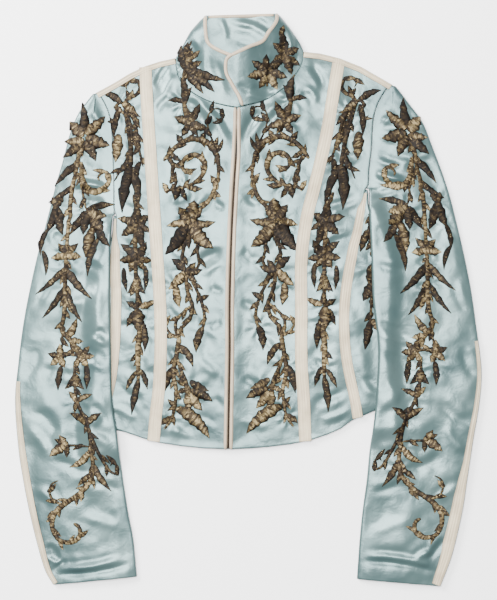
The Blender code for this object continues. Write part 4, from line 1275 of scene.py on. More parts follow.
def zipPieces():
    # The zip's woven tape under the fronts, and its closed teeth in the slot.
    low, high = hemY(centreCurve[0, 0]) + 1.5, zipper["top"]
    ys = np.linspace(low - 1, zipper["tapeTop"], 130)
    share = np.linspace(-1, 1, 9)
    plan = np.stack([centreX(ys)[:, None] + zipper["tapeHalf"] * share[None],
                     np.repeat(ys[:, None], len(share), axis=1)], axis=-1)
    run = np.repeat(ys[:, None], len(share), axis=1)
    uv = np.dstack([zipper["tapeHalf"] * share[None] + 0 * run, run])
    middle = frontTop(centreX(ys), ys)[:, None] - sizes["cloth"] - sizes["ply"]
    top = np.dstack([plan, middle + 0 * run])
    tapePiece = makeShell("zip_tape_woven", top, zipper["tapeWall"], zipTapeFinish, uv=uv,
                          turned=False)
    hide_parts("zip_tape")

    ys = np.arange(low, high, zipper["pitch"] / 2)
    aside = np.where(np.arange(len(ys)) % 2, zipper["stagger"], -zipper["stagger"])
    places = np.column_stack([centreX(ys) + aside, ys,
                              frontTop(centreX(ys), ys) - zipper["sunk"]])
    scales = np.tile(zipper["tooth"], (len(ys), 1))
    scatter("zip_teeth", *longBlock(), places, np.zeros(len(ys)), scales, teethFinish,
            "zip_teeth")


def stitchPieces():
    # The rows of stitches that hold the tapes down.
    places, headings = [], []
    for run in stitchRuns:
        count = stepsFor(run, tape["stitchStep"])
        points = along(run, (np.arange(count) + 0.5) / count)
        step = np.gradient(points, axis=0)
        places.append(points)
        headings.append(np.arctan2(step[:, 1], step[:, 0]))
    places, headings = np.vstack(places), np.concatenate(headings)
    scatter("tape_stitches", *longBlock(), places, headings,
            np.tile(tape["stitch"], (len(places), 1)), sewingFinish, "tape")


embroidery = {
    "rings": 15,           # sections along a leaf
    "relief": 0.15,        # height of a leaf as a share of its width
    "lowest": 0.9,
    "highest": 2.1,
    "fullness": 1.42,      # how much wider a leaf is than its table says
    "sunk": 0.3,           # how far its rim is pulled into the satin
    "sawDepth": 0.3,       # how deep a tooth cuts, as a share of the half width
    "baseRun": 4,          # mm that a leaf's form starts before its base
    "bandRelief": 0.09,    # height of its raised bands as a share of its crown
    "rimShade": (0.34, 0.2),   # painted light and shade: how much lighter its middle is, less how dark its rim
    "wander": 4,           # degrees that each leaf may turn from its table
    "stemStep": 2.1,
    "stemFullness": 1.12,
    "stemBands": 0.06,
    "thornStep": 15.0,
    "thornEnds": (10.0, 6),    # mm left free at a stem's start and end
    "beadStep": 11.0,
    "beadRadii": (0.45, 0.8),
    "beadRaised": 0.72,    # a bead's place as a share of the leaf's height
}
# A leaf's row: its base, its angle, its length and width in mm, its bow as a
# share of its length, its number of saw teeth, and how light its thread is.
leafNames = "x y angle length width bow teeth tone"

# Garland beside centre front. x is the distance outwards from the centre, y is
# the blazer's own, angle is 0 outwards and 90 towards the collar. A stem is its
# name, its widths at start, middle and end, its tone, and the points on its way.
frontLeaves = columns(
    leafNames,
    # Top sprig.
    (65, 242, 79, 33, 10, 0.10, 3, 0.05), (64, 246, 118, 18, 8, -0.1, 2, 0.05),
    (66, 243, 8, 20, 7, 0.1, 2, 0.05),
    # Star below it.
    (59, 219, 124, 26, 10, 0.06, 3, 0.10), (60, 218, 20, 19, 10, 0.0, 2, 0.18),
    (57, 217, 196, 23, 10, 0.05, 3, 0.18), (59, 215, -60, 17, 9, 0.0, 2, 0.08),
    (60, 219, 72, 15, 7, 0.0, 2, 0.12), (57, 214, 232, 16, 8, 0.0, 2, 0.12),
    # Thorns on the tall stem.
    (24, 184, 118, 17, 5, 0.1, 0, 0.0), (23, 186, 48, 15, 5, -0.1, 0, 0.0),
    # On the arc.
    (68, 190, 66, 16, 8, 0.1, 2, 0.05), (44, 196, 116, 13, 7, 0.0, 2, 0.1),
    (32, 188, 206, 13, 7, 0.1, 2, 0.1), (79, 180, 215, 15, 7, 0.1, 2, 0.05),
    # Inside the scroll.
    (55, 157, 40, 9, 6, 0.0, 0, 0.2), (57, 140, 184, 19, 8, 0.1, 2, 0.15),
    (67, 138, -72, 17, 9, 0.05, 2, 0.05), (64, 137, -118, 17, 7, 0.05, 2, 0.1),
    # Lower flourish.
    (22, 138, 62, 18, 8, 0.08, 2, 0.3), (23, 131, 206, 9, 6, 0.0, 0, 0.2),
    (78, 146, 108, 14, 7, 0.1, 2, 0.05), (83, 134, 62, 12, 7, 0.1, 2, 0.3),
    # Large star of leaves.
    (50, 105, 98, 18, 14, 0.0, 3, 0.22), (55, 96, 54, 22, 12, 0.05, 3, 0.15),
    (49, 97, 128, 18, 9, -0.05, 2, 0.15), (52, 94, -8, 29, 10, 0.06, 3, 0.32),
    (51, 94, 176, 31, 10, 0.08, 3, 0.2), (50, 92, 226, 40, 17, 0.08, 5, 0.2),
    (53, 92, -90, 30, 10, 0.05, 3, 0.02), (56, 92, -56, 44, 16, -0.06, 4, -0.06),
    (46, 88, 250, 24, 8, 0.05, 2, 0.1),
    # Second star.
    (57, 36, 44, 22, 10, 0.08, 3, 0.04), (56, 35, 172, 22, 10, 0.08, 3, 0.04),
    (58, 33, -44, 27, 11, -0.06, 3, 0.32), (52, 36, 128, 14, 8, 0.0, 2, 0.1),
    (66, 15, -97, 25, 10, 0.05, 2, 0.32), (54, 33, 218, 18, 8, 0.05, 2, 0.1),
    # Drop of the long strand.
    (34, -36, -76, 30, 10, 0.08, 2, 0.06), (49, -12, 216, 12, 6, 0.0, 2, 0.1),
    (34, 2, 152, 10, 6, 0.0, 0, 0.05), (60, -58, 240, 29, 9, -0.1, 2, 0.14),
    (69, -84, -70, 36, 10, 0.08, 2, 0.02),
    # Lower cluster.
    (46, -101, 204, 24, 10, 0.08, 3, 0.12), (45, -112, 206, 28, 11, -0.05, 3, 0.08),
    (47, -117, 234, 24, 11, 0.05, 3, 0.32), (51, -116, -91, 24, 10, 0.0, 3, 0.24),
    (52, -110, -20, 14, 7, 0.0, 2, 0.2), (56, -104, 30, 11, 6, 0.0, 2, 0.2),
    (63, -134, 222, 54, 15, -0.09, 5, 0.30), (70, -146, -32, 17, 8, 0.1, 2, 0.2),
    (67, -130, 46, 12, 6, 0.0, 0, 0.12))
frontStems = [
    ("arc", (5, 8, 3), 0.12, (89, 171), (78, 185), (66, 194), (54, 198), (42, 196),
     (31, 190), (24, 178), (20.5, 163), (20.5, 148), (22, 136)),
    ("scroll", (3, 7.5, 4), 0.16, (70, 137), (58, 140), (47, 146), (39, 156), (38, 168),
     (46, 177), (56, 178), (64, 172), (65, 163), (59, 157), (53, 160)),
    ("tendril", (3.4, 2.2, 2.4), 0.0, (21, 166), (25, 186), (33, 204), (36.5, 221),
     (31, 233), (21, 234), (15.5, 227), (20, 220.5), (26, 224)),
    ("spray", (5, 6, 3), 0.2, (22, 142), (28, 126), (38, 114), (51, 104)),
    ("edge", (6, 5, 4), 0.05, (84, 176), (77, 166), (77, 156), (72, 146), (76, 137), (84, 133)),
    ("link", (5, 7, 6), 0.1, (66, 244), (63, 232), (59, 218)),
    ("stemA", (5, 4.6, 5), 0.05, (55, 92), (57, 70), (60, 52), (57, 36)),
    ("stemB", (4, 4, 4), 0.05, (48, 88), (43, 74), (41, 58), (39, 44), (46, 34)),
    ("loopA", (5, 5.6, 4), 0.08, (55, 30), (52, 10), (46, -8), (50, -24), (60, -36), (63, -50)),
    ("loopB", (4, 4.4, 4), 0.08, (49, 28), (39, 8), (33, -8), (31, -24), (35, -40)),
    ("loopC", (3, 4.4, 4), 0.18, (46, -6), (56, -14), (66, -26), (66, -40), (63, -50)),
    ("hook", (4, 3.4, 1.6), 0.2, (62, -47), (70, -44), (77, -36), (78, -27), (73, -24)),
    ("main", (6.5, 5.4, 3.4), 0.16, (62, -46), (65, -64), (69, -90), (65, -113), (67, -130),
     (70, -146), (79, -159)),
    ("branch", (4, 5.4, 6), 0.14, (66, -68), (60, -86), (54, -100), (51, -116)),
]

# Garland between the princess seam and the side. x is the distance outwards
# from the princess seam.
sideLeaves = columns(
    leafNames,
    # Top.
    (33, 243, 26, 28, 9, 0.1, 3, 0.02), (28, 242, -138, 20, 11, 0.05, 2, 0.26),
    (22, 250, 70, 10, 6, 0.0, 0, 0.05), (34, 236, -76, 40, 8, 0.06, 2, 0.0),
    (38, 202, -78, 33, 12, 0.0, 3, 0.28), (20, 230, -120, 22, 8, 0.0, 2, 0.08),
    (17, 206, -100, 24, 9, 0.0, 3, 0.14),
    # Long hanging leaves.
    (25, 163, -74, 58, 13, 0.05, 2, -0.04), (23, 162, -97, 50, 10, -0.05, 3, 0.02),
    (27, 176, -48, 28, 8, -0.1, 2, 0.0), (14, 168, -80, 26, 8, 0.1, 2, 0.0),
    # First cluster.
    (23, 96, 96, 22, 11, 0.0, 3, 0.04), (25, 94, 18, 22, 10, 0.05, 3, 0.14),
    (20, 95, 148, 16, 10, 0.0, 3, 0.04), (26, 90, -36, 20, 10, 0.0, 3, 0.08),
    (21, 90, -98, 28, 10, 0.0, 3, 0.0), (17, 92, 222, 14, 8, 0.0, 2, 0.1),
    # Second cluster.
    (27, 53, 44, 24, 10, 0.05, 3, 0.02), (28, 51, -8, 20, 10, 0.0, 3, 0.08),
    (23, 53, 122, 22, 10, 0.0, 3, 0.02), (22, 50, 186, 16, 9, 0.0, 2, 0.1),
    (24, 48, 238, 14, 8, 0.0, 2, 0.2), (30, 48, -60, 14, 8, 0.0, 2, 0.2),
    # Long ones beside the bell.
    (42, 37, -92, 28, 7, 0.05, 2, 0.0), (16, 40, -88, 30, 7, -0.05, 2, 0.0),
    # Bell.
    (28, 24, -56, 20, 8, -0.1, 0, 0.1), (28, 24, -124, 20, 8, 0.1, 0, 0.1),
    (28, 25, -90, 16, 10, 0.0, 3, 0.32),
    # Third cluster.
    (27, -6, 98, 13, 7, 0.0, 0, 0.05), (29, -9, 28, 15, 8, 0.0, 2, 0.06),
    (23, -8, 158, 20, 8, 0.05, 3, 0.3), (28, -13, -90, 26, 15, 0.0, 4, 0.16),
    (33, -16, -66, 20, 8, 0.0, 2, 0.04),
    # Drop.
    (22, -30, -96, 34, 9, -0.04, 2, 0.04), (29, -68, -42, 12, 6, 0.0, 0, 0.05),
    (30, -90, -64, 24, 7, 0.05, 2, 0.14), (23, -88, -112, 24, 7, -0.05, 2, 0.08),
    (26, -100, -88, 42, 9, 0.03, 2, 0.04))
sideStems = [
    ("crook", (5, 5, 2), 0.1, (29, 242), (22, 249), (14, 252), (8, 259), (10, 269), (18, 272),
     (25, 266), (24, 259)),
    ("hook", (4, 4, 2), 0.05, (33, 244), (39, 238), (37, 228), (42, 220), (47, 225)),
    ("hangA", (5, 4.4, 2), 0.0, (29, 240), (24, 222), (22, 200), (26, 178), (38, 160), (47, 146)),
    ("hangB", (5, 5, 2.4), 0.02, (27, 240), (17, 222), (15, 200), (13, 182), (10, 164)),
    ("hangC", (5, 5.5, 6), 0.0, (28, 238), (26, 214), (24, 190), (25, 164)),
    ("spine", (5, 6, 5), 0.12, (24, 130), (22, 110), (24, 92), (26, 70), (27, 50), (28, 26),
     (27, -8)),
    ("lower", (6, 7.5, 4), 0.26, (27, -18), (26, -40), (28, -60), (27, -80), (26, -104)),
]

# Sleeve garland. x is the distance outwards from the sleeve's middle line.
sleeveLeaves = columns(
    leafNames,
    # Crown of leaves.
    (8, 206, 82, 38, 10, 0.04, 3, 0.0), (5, 206, 134, 29, 13, 0.05, 4, 0.26),
    (3, 200, 196, 30, 14, 0.05, 4, 0.18), (5, 194, 238, 28, 11, -0.05, 3, 0.08),
    (10, 203, 42, 24, 13, 0.0, 3, 0.26), (9, 196, -2, 22, 10, 0.0, 3, 0.22),
    (9, 193, -42, 28, 12, 0.0, 3, 0.06), (9, 190, -86, 18, 8, 0.0, 2, 0.2),
    (11, 168, -52, 38, 9, 0.06, 3, 0.0), (14, 140, -34, 34, 8, -0.04, 2, 0.0),
    # Left spray.
    (31, 116, 62, 13, 9, 0.0, 2, 0.1), (30, 117, 118, 13, 9, 0.0, 2, 0.1),
    (32, 114, -82, 32, 11, -0.04, 3, 0.0), (29, 112, -110, 34, 11, 0.04, 3, 0.02),
    (37, 86, -86, 32, 7, 0.1, 2, 0.0), (39, 58, -108, 30, 6, -0.1, 0, 0.0),
    # Right spray.
    (-8, 110, 164, 34, 9, -0.08, 2, 0.08), (-10, 108, 196, 22, 13, 0.05, 4, 0.3),
    (-7, 106, -92, 26, 11, 0.0, 3, 0.0), (-4, 107, -66, 30, 10, 0.0, 2, -0.04),
    (-16, 98, 216, 20, 14, 0.0, 4, 0.14), (-24, 88, 232, 30, 9, 0.05, 3, 0.0),
    (-18, 88, -86, 36, 12, 0.04, 3, 0.24), (-27, 74, -78, 46, 9, 0.08, 3, 0.02),
    # Flower.
    (9, 57, 44, 18, 9, 0.0, 2, 0.12), (9, 57, 134, 18, 9, 0.0, 2, 0.18),
    (10, 55, -8, 18, 10, 0.0, 2, 0.34), (8, 55, 190, 18, 10, 0.0, 2, 0.34),
    (9, 57, 90, 12, 7, 0.0, 0, 0.0),
    # Spreading leaves.
    (9, 40, -45, 47, 8, -0.05, 4, 0.12), (8, 40, 226, 54, 9, 0.05, 4, 0.02),
    (7, 16, -62, 46, 8, -0.05, 4, 0.02), (4, 12, 236, 46, 8, 0.05, 4, 0.06),
    (2, 2, 246, 22, 8, 0.0, 3, 0.28),
    # Node.
    (-2, -46, 116, 26, 9, 0.06, 3, 0.24), (-6, -50, 186, 16, 8, 0.0, 3, 0.28),
    (4, -36, 40, 10, 6, 0.0, 0, 0.1),
    # Pair of stars.
    (6, -70, 88, 16, 9, 0.0, 2, 0.34), (6, -70, 18, 16, 8, 0.0, 2, 0.1),
    (6, -71, -40, 15, 9, 0.0, 2, 0.3), (6, -71, -120, 14, 9, 0.0, 2, 0.3),
    (6, -70, 156, 12, 8, 0.0, 2, 0.1), (-19, -69, 70, 16, 9, 0.0, 3, 0.2),
    (-19, -70, 132, 17, 9, 0.0, 3, 0.12), (-19, -70, 178, 18, 9, 0.0, 3, 0.2),
    (-19, -71, 226, 16, 9, 0.0, 2, 0.3), (-18, -72, -62, 14, 8, 0.0, 2, 0.3),
    # Drops.
    (4, -84, -88, 28, 8, 0.04, 2, 0.02), (-27, -82, -92, 28, 8, -0.04, 2, 0.04),
    (-14, -94, -52, 20, 8, -0.1, 0, 0.0), (-14, -94, 232, 20, 8, 0.1, 0, 0.0),
    (-14, -94, -90, 15, 12, 0.0, 3, 0.16),
    # Pairs below.
    (-16, -124, 50, 15, 8, 0.06, 2, 0.32), (-18, -124, 152, 21, 7, -0.06, 2, 0.12),
    (-26, -152, 30, 24, 9, 0.06, 2, 0.14), (-27, -152, 146, 24, 8, -0.06, 2, 0.12),
    # Twig.
    (2, -179, 58, 15, 9, 0.0, 2, 0.24), (4, -180, -30, 24, 10, 0.05, 3, 0.32),
    (1, -181, -82, 13, 7, 0.0, 2, 0.1), (5, -176, 24, 12, 7, 0.0, 2, 0.1),
    # Lower leaves.
    (-25, -186, -38, 34, 8, -0.12, 3, 0.32), (-28, -202, 246, 38, 9, 0.06, 2, 0.22),
    (-26, -214, -34, 27, 7, 0.06, 2, 0.2), (-18, -226, -48, 14, 7, 0.0, 3, 0.3),
    (-9, -236, -72, 13, 7, 0.0, 2, 0.3), (30, -262, -30, 12, 6, 0.0, 0, 0.24))
sleeveStems = [
    ("upper", (4, 6, 4.4), 0.2, (9, 196), (12, 180), (12, 160), (14, 140), (14, 116), (12, 86),
     (9, 56)),
    ("second", (3, 3.4, 3), 0.05, (11, 176), (4, 150), (0, 130), (-6, 112)),
    ("scroll", (5, 8, 2.6), 0.26, (7, 170), (4, 152), (-4, 138), (-16, 133), (-27, 140),
     (-30, 151), (-23, 158), (-16, 152), (-18, 147)),
    ("spine", (5, 6, 4.6), 0.14, (9, 56), (8, 36), (6, 16), (4, -2), (4, -20), (6, -36),
     (-3, -48), (-13, -58), (-19, -68)),
    ("drop", (3, 3, 3), 0.1, (5, -38), (4, -54), (6, -70)),
    ("bar", (4, 4, 4), 0.1, (6, -69), (-6, -67), (-19, -69)),
    ("below", (4, 5, 5), 0.02, (-16, -72), (-13, -86), (-14, -106), (-17, -126), (-26, -150),
     (-29, -170), (-28, -186)),
    ("main", (5, 6.4, 5.4), 0.2, (-27, -180), (-28, -202), (-22, -222), (-6, -238), (10, -248),
     (22, -256), (33, -268), (36, -284), (30, -296), (16, -298), (5, -291), (3, -280), (9, -275)),
    ("curl", (4, 3.4, 1.6), 0.18, (17, -252), (28, -246), (31, -236), (27, -227), (18, -222)),
    ("tendril", (5, 4.6, 2.2), 0.02, (-27, -154), (-33, -176), (-40, -196), (-47, -210),
     (-55, -214), (-58, -206), (-53, -200), (-49, -204)),
    ("twig", (3, 3, 3.4), 0.05, (-26, -180), (-12, -179), (2, -179)),
]

# Leaves on the collar, in the blazer's own x and y.
collarLeaves = {
    "R": columns(
        leafNames,
        (-78, 285, -16, 52, 11, -0.04, 4, 0.0), (-76, 282, -36, 44, 11, 0.04, 4, 0.04),
        (-77, 279, -48, 34, 9, 0.04, 3, 0.12), (-79, 288, 96, 26, 10, 0.05, 3, 0.02),
        (-76, 290, 62, 18, 9, 0.0, 3, 0.16), (-74, 286, 24, 18, 9, 0.0, 3, 0.06),
        (-78, 302, 78, 16, 8, 0.0, 2, 0.1), (-70, 297, 38, 14, 7, 0.0, 2, 0.2)),
    "L": columns(
        leafNames,
        (22, 281, 88, 20, 9, 0.04, 3, 0.0), (22, 280, 146, 22, 10, 0.0, 3, 0.1),
        (20, 278, 194, 22, 11, 0.0, 4, 0.24), (22, 275, 238, 18, 9, 0.0, 3, 0.26),
        (26, 276, -62, 20, 10, 0.0, 3, 0.28), (27, 280, -14, 22, 10, 0.0, 3, 0.1),
        (27, 284, 38, 22, 9, 0.0, 3, 0.06), (46, 306, 96, 24, 10, 0.05, 3, 0.02),
        (44, 304, 146, 18, 9, 0.0, 3, 0.2), (48, 303, 24, 16, 9, 0.0, 3, 0.1),
        (46, 300, -70, 24, 11, 0.0, 4, 0.12), (50, 297, -30, 16, 8, 0.0, 3, 0.24),
        (42, 300, 214, 14, 8, 0.0, 2, 0.06), (40, 326, 76, 12, 7, 0.0, 2, 0.1)),
}
collarStems = {
    "R": [("stem", (4, 4, 3), 0.05, (-76, 262), (-80, 274), (-78, 286), (-76, 304), (-70, 318))],
    "L": [("stem", (4, 5, 3), 0.08, (23, 262), (23, 280), (34, 290), (46, 302), (42, 326))],
}

# Leaves on the left side panel, beside the sleeve.
panelLeaves = columns(
    leafNames,
    (151, 108, 262, 30, 8, 0.05, 3, 0.0), (146, 84, 250, 26, 8, 0.0, 3, 0.02),
    (156, 66, 284, 30, 8, 0.05, 3, 0.04), (152, 20, 244, 24, 10, 0.0, 3, 0.04),
    (154, 14, 290, 22, 9, 0.0, 3, 0.1), (150, -28, 262, 34, 9, 0.0, 3, 0.02),
    (153, -26, 306, 16, 8, 0.0, 2, 0.2), (150, 40, 262, 22, 8, 0.0, 2, 0.04))
panelStems = [("stem", (3, 4, 3), 0.05, (150, 112), (150, 80), (154, 44), (152, 10), (150, -30))]


def leafForms(leaves, seed):
    # Every leaf is a closed ring form: its half width swells and tapers with the
    # share of its length, saw teeth cut its rim, a crown stands over it with a
    # groove along its rib, and bands of stitches cross it.
    rng = np.random.default_rng(seed)
    x, y, angle, length, width, bow, teeth, tone = (leaves[key][:, None, None]
                                                    for key in leafNames.split())
    count = len(leaves["x"])
    turn = np.radians(angle)
    u = np.linspace(0.03, 0.985, embroidery["rings"])[None, :, None]
    v = np.array([-1.0, -0.66, -0.33, 0.0, 0.33, 0.66, 1.0, 0.0])[None, None]
    top = np.array([1.0] * 7 + [0.0])[None, None]
    swell = np.sin(math.pi * u ** 0.66) ** 0.8
    tooth = (u * np.maximum(teeth, 1) + 0.1) % 1.0
    saw = np.where(teeth > 0, 1 - embroidery["sawDepth"] * tooth, 1.0)
    half = embroidery["fullness"] * width / 2 * swell * saw + 0.25
    baseRun, (rimShade, rimDark) = embroidery["baseRun"], embroidery["rimShade"]
    forward = (length + baseRun) * u - baseRun + 0.35 * np.abs(v) * half * (teeth > 0)
    aside = v * half + bow * length * 4 * u * (1 - u)
    localX = x + forward * np.cos(turn) - aside * np.sin(turn)
    localY = y + forward * np.sin(turn) + aside * np.cos(turn)
    height = np.clip(embroidery["relief"] * width, embroidery["lowest"], embroidery["highest"])
    crown = (1 - v ** 2) ** 0.7 * (0.4 + 0.6 * np.sin(math.pi * u))
    rib = 1 - 0.35 * np.exp(-(v / 0.22) ** 2)
    bands = 1 + embroidery["bandRelief"] * np.cos(2 * math.pi * forward / thread["ripple"])
    relief = np.where(top > 0, height * crown * rib * bands, -0.6) - embroidery["sunk"]
    # Painted light and shade: each leaf is lighter over its middle, where its crown is highest,
    # and darker at its rim.
    toneAndShade = tone + rng.uniform(-0.05, 0.05, (count, 1, 1))
    toneAndShade = toneAndShade + rimShade * (1 - np.abs(v) ** 1.5) - rimDark
    uv = np.stack([v * half + 0 * u, forward + 0 * v], axis=-1)
    uv = uv + rng.uniform(0, 400, (count, 1, 1, 2))
    local = np.stack([localX, localY, relief + 0 * localX], axis=-1)
    toneAndShade = toneAndShade + 0 * localX
    base = [np.stack([x[:, 0, 0] + share * length[:, 0, 0] * np.cos(turn[:, 0, 0]),
                      y[:, 0, 0] + share * length[:, 0, 0] * np.sin(turn[:, 0, 0]),
                      np.full(count, -0.2)], axis=-1) for share in (0.0, 1.0)]
    size = embroidery["rings"] * 8
    points = np.concatenate([local.reshape(count, size, 3), base[0][:, None], base[1][:, None]], 1)
    uv = uv.reshape(count, size, 2)
    uv = np.concatenate([uv, uv[:, :1], uv[:, -1:]], 1)
    toneAndShade = toneAndShade.reshape(count, size)
    toneAndShade = np.concatenate([toneAndShade, toneAndShade[:, :1], toneAndShade[:, -1:]], 1)
    side, fans = ringFaces(embroidery["rings"], 8)
    shift = (np.arange(count) * (size + 2))[:, None, None]
    faces = [(part[None] + shift).reshape(-1, part.shape[1]) for part in (side, fans)]
    return points.reshape(-1, 3), uv.reshape(-1, 2), toneAndShade.ravel(), faces


def stemForm(stem, seed):
    # A stem: a crowned oval carried along a smooth path, its width and its
    # bands of stitches changing along it.
    widths, tone, *path = stem[1:]
    rng = np.random.default_rng(seed)
    curve = smooth(columns("x y", *path))
    count = stepsFor(curve, embroidery["stemStep"])
    points = along(curve, np.linspace(0, 1, count))
    run = runOf(points)[:, None]
    share = run / run[-1]
    half = np.interp(share, [0, 0.5, 1], widths) / 2 * embroidery["stemFullness"]
    wave = np.cos(2 * math.pi * run / thread["ripple"] / 1.3)
    half = half * (1 + embroidery["stemBands"] * wave)
    end = np.minimum(np.arange(count), np.arange(count)[::-1])[:, None]
    half = half * np.array([0.45, 0.85, 1.0])[np.minimum(end, 2)]
    angle = np.radians([0, 36, 72, 108, 144, 180, 240, 300])[None]
    across = squareOff(points)[0]
    aside = half * np.cos(angle)
    plan = points[:, None] + across[:, None] * aside[..., None]
    height = np.clip(embroidery["relief"] * 2.4 * half, embroidery["lowest"],
                     embroidery["highest"])
    rise = np.where(np.sin(angle) >= 0, height * np.sin(angle), -0.5) - embroidery["sunk"]
    local = np.dstack([plan, rise])
    poles = [np.append(points[k], -0.2) for k in (0, -1)]
    uv = np.dstack([aside, run + 0 * aside]).reshape(-1, 2)
    uv = np.vstack([uv, uv[:1], uv[-1:]]) + rng.uniform(0, 400, 2)
    # Painted light and shade: each stem is lighter along its top and darker down its sides.
    toneAndShade = (tone + 0.26 * np.sin(angle) - 0.12 + 0.06 * np.cos(run / 9)).ravel()
    toneAndShade = np.append(toneAndShade, [tone, tone])
    side, fans = ringFaces(count, 8)
    return np.vstack([local.reshape(-1, 3)] + poles), uv, toneAndShade, [side, fans]


def thornLeaves(stems, seed):
    # Small leaves that stand off the stems on alternate sides.
    rng = np.random.default_rng(seed)
    rows = []
    for stem in stems:
        tone, *path = stem[2:]
        curve = smooth(columns("x y", *path))
        reach = runOf(curve)[-1]
        start, end = embroidery["thornEnds"]
        at = np.arange(start, reach - end, embroidery["thornStep"]) / reach
        points = along(curve, at)
        ahead = along(curve, np.minimum(at + 0.01, 1))
        heading = np.degrees(np.arctan2(ahead[:, 1] - points[:, 1], ahead[:, 0] - points[:, 0]))
        sign = np.where(np.arange(len(at)) % 2, 1, -1)
        for (px, py), facing in zip(points, heading + sign * rng.uniform(28, 44, len(at))):
            rows.append((px, py, facing, rng.uniform(10, 15), rng.uniform(4.4, 6.0),
                         rng.uniform(-0.1, 0.1), 0, tone + rng.uniform(-0.06, 0.12)))
    return columns(leafNames, *rows)


def joined(*tables):
    # Leaf tables one after the other.
    return {key: np.concatenate([t[key] for t in tables]) for key in leafNames.split()}


def placeFront(side, x, y):
    # x counted outwards from centre front.
    return centreX(y) + side["outward"] * x, y


def placeSide(side, x, y):
    # x counted outwards from the princess seam.
    return seamX(side, "princess", y) + side["outward"] * x, y


def sleeveMiddle(side, y):
    # Mean of the sleeve's inner and outer border along y.
    inner, outer = sleeveCurves(side)
    return (np.interp(y, inner[::-1, 1], inner[::-1, 0])
            + np.interp(y, outer[::-1, 1], outer[::-1, 0])) / 2


def placeSleeve(side, x, y):
    # x counted outwards from the sleeve's middle.
    return sleeveMiddle(side, y) + side["outward"] * x, y


def placeAsDrawn(side, x, y):
    # The table has the blazer's own x and y.
    return x, y


def sleeveTopOf(side):
    # The upper face of one sleeve as a surface.
    return lambda x, y: sleeveFaces(side, x, y)[0]


# Each garland: its name, leaves, stems, how its places are read, its side, how
# far it is shifted, where it pulls the satin, and the surface that it lies on.
garlands = []
for tag, side in sides.items():
    shift, sleeveShift = {"R": ((0, 0), (0, 0)), "L": ((1, 3), (2, 6))}[tag]
    garlands += [
        ("front_garland_" + tag, frontLeaves, frontStems, placeFront, side, shift, "body",
         frontTop),
        ("side_garland_" + tag, sideLeaves, sideStems, placeSide, side, shift, "body", frontTop),
        ("sleeve_garland_" + tag, sleeveLeaves, sleeveStems, placeSleeve, side, sleeveShift,
         "sleeve", sleeveTopOf(side)),
        ("collar_leaves_" + tag, collarLeaves[tag], collarStems[tag], placeAsDrawn, side, (0, 0),
         "collar", lambda x, y, tag=tag: collarTop(tag, x, y)),
    ]
garlands.append(("panel_leaves_L", panelLeaves, panelStems, placeAsDrawn, left, (0, 0), "body",
                 lambda x, y: frontTop(x, y) + 0.3))

# The satin is gathered at every other large leaf.
for name, leaves, stems, place, side, (shiftX, shiftY), zone, surface in garlands:
    large = leaves["length"] > 16
    anchorX, anchorY = place(side, leaves["x"][large] + shiftX, leaves["y"][large] + shiftY)
    anchorPoints[zone] += list(zip(anchorX[::2], anchorY[::2]))


def garlandPieces():
    # The embroidery: each garland is one piece, with small beads sewn on it.
    beadPlaces = []
    for number, (name, leaves, stems, place, side, shift, zone, surface) in enumerate(garlands):
        rng = np.random.default_rng(100 + number)
        every = joined(leaves, thornLeaves(stems, 60 + number))
        wander = embroidery["wander"]
        every["angle"] = every["angle"] + rng.uniform(-wander, wander, len(every["x"]))
        forms = [leafForms(every, 20 + number)]
        forms += [stemForm(stem, 40 + 20 * number + k) for k, stem in enumerate(stems)]
        starts = np.cumsum([0] + [len(form[0]) for form in forms[:-1]])
        points = np.vstack([form[0] for form in forms])
        points[:, 0], points[:, 1] = place(side, points[:, 0] + shift[0], points[:, 1] + shift[1])
        points[:, 2] += surface(points[:, 0], points[:, 1])
        uv = np.vstack([form[1] for form in forms])
        toneAndShade = np.concatenate([form[2] for form in forms])
        quads = np.vstack([form[3][0] + start for form, start in zip(forms, starts)])
        fans = np.vstack([form[3][1] + start for form, start in zip(forms, starts)])
        makePiece(name, points, [quads, fans], threadFinish, uv=uv, tone=toneAndShade)

        count = int(every["length"].sum() / embroidery["beadStep"])
        pick = rng.integers(0, len(every["x"]), count)
        share, aside = rng.uniform(0.15, 0.75, count), rng.uniform(-0.22, 0.22, count)
        turn = np.radians(every["angle"][pick])
        forward = share * every["length"][pick]
        wide = aside * every["width"][pick]
        wide = wide + every["bow"][pick] * every["length"][pick] * 4 * share * (1 - share)
        beadX = every["x"][pick] + forward * np.cos(turn) - wide * np.sin(turn)
        beadY = every["y"][pick] + forward * np.sin(turn) + wide * np.cos(turn)
        beadX, beadY = place(side, beadX + shift[0], beadY + shift[1])
        tall = np.clip(embroidery["relief"] * every["width"][pick], embroidery["lowest"],
                       embroidery["highest"])
        beadZ = surface(beadX, beadY) + embroidery["beadRaised"] * tall - embroidery["sunk"]
        beadPlaces.append(np.column_stack([beadX, beadY, beadZ]))
    places = np.vstack(beadPlaces)
    rng = np.random.default_rng(9)
    scales = rng.uniform(*embroidery["beadRadii"], (len(places), 1)) * [1.0, 1.0, 0.8]
    scatter("gold_beads", *smallDome(8), places, rng.uniform(0, 3, len(places)), scales,
            beadFinish, "embroidery")


bodyPieces()
print("body laid out")
sleevePieces()
print("sleeves laid out")
collarPieces()
zipPieces()
stitchPieces()
print("collar, zip and stitches made")
garlandPieces()
print("garlands stitched")

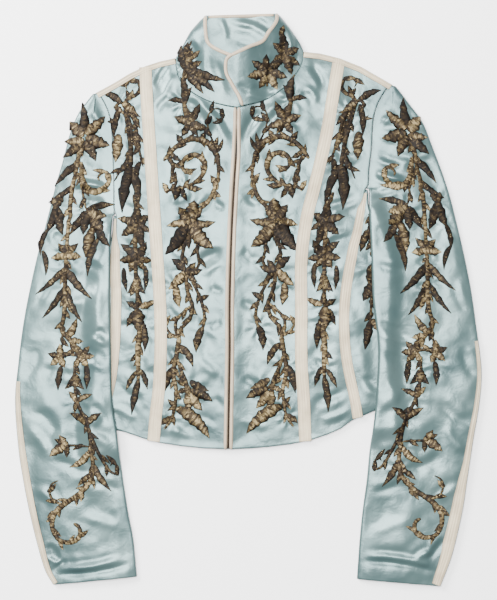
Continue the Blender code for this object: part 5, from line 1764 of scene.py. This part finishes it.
studio = {
    "photoHeight": 738.0,      # mm that the picture covers from top to bottom
    "lens": 100.0,
    "sensor": 36.0,
    "farthest": 20,            # m that the camera sees
    "clothLevel": 8.0,         # mm, the height that is in scale
    "floorReach": 6.0,         # m from the middle to the floor's edges
    "floorLevel": -0.0006,     # m, just under the cloth
    "floorTone": 0.93,
    "world": 0.55,             # strength of the white surroundings
    # Lamps: place and size in m, power in W.
    "overhead": ((-0.25, 0.35, 2.7), 1.5, 250.0),
    "key": ((-1.5, 1.2, 1.3), 0.9, 150.0),
}


def buildStage():
    # A pale floor, a broad lamp overhead, a key light from the upper left, and
    # the camera straight above, as far off as the picture's height needs.
    floor = bpy.data.meshes.new("floor")
    reach, level = studio["floorReach"], studio["floorLevel"]
    corners = [(-reach, -reach), (reach, -reach), (reach, reach), (-reach, reach)]
    floor.from_pydata([(*corner, level) for corner in corners], [], [(0, 1, 2, 3)])
    floor.materials.append(newMaterial("paleFloor", (studio["floorTone"],) * 3, 0.9)[0])
    ground = bpy.data.objects.new("floor", floor)
    bpy.context.scene.collection.objects.link(ground)
    world = bpy.data.worlds.new("studio")
    world.use_nodes = True
    world.node_tree.nodes["Background"].inputs["Color"].default_value = (1, 1, 1, 1)
    world.node_tree.nodes["Background"].inputs["Strength"].default_value = studio["world"]
    bpy.context.scene.world = world
    for name in ("overhead", "key"):
        place, size, power = studio[name]
        lamp = bpy.data.lights.new(name, "AREA")
        lamp.size, lamp.energy = size, power
        light = bpy.data.objects.new(name, lamp)
        light.location = place
        aim = -light.location
        light.rotation_euler = aim.to_track_quat("-Z", "Y").to_euler()
        bpy.context.scene.collection.objects.link(light)
    lens = bpy.data.cameras.new("overhead")
    lens.lens, lens.sensor_width = studio["lens"], studio["sensor"]
    lens.clip_end = studio["farthest"]
    camera = bpy.data.objects.new("overhead", lens)
    distance = studio["photoHeight"] * studio["lens"] / studio["sensor"]
    camera.location = (0, 0, (distance + studio["clothLevel"]) * mm)
    bpy.context.scene.collection.objects.link(camera)
    bpy.context.scene.camera = camera


buildStage()
print("stage built")
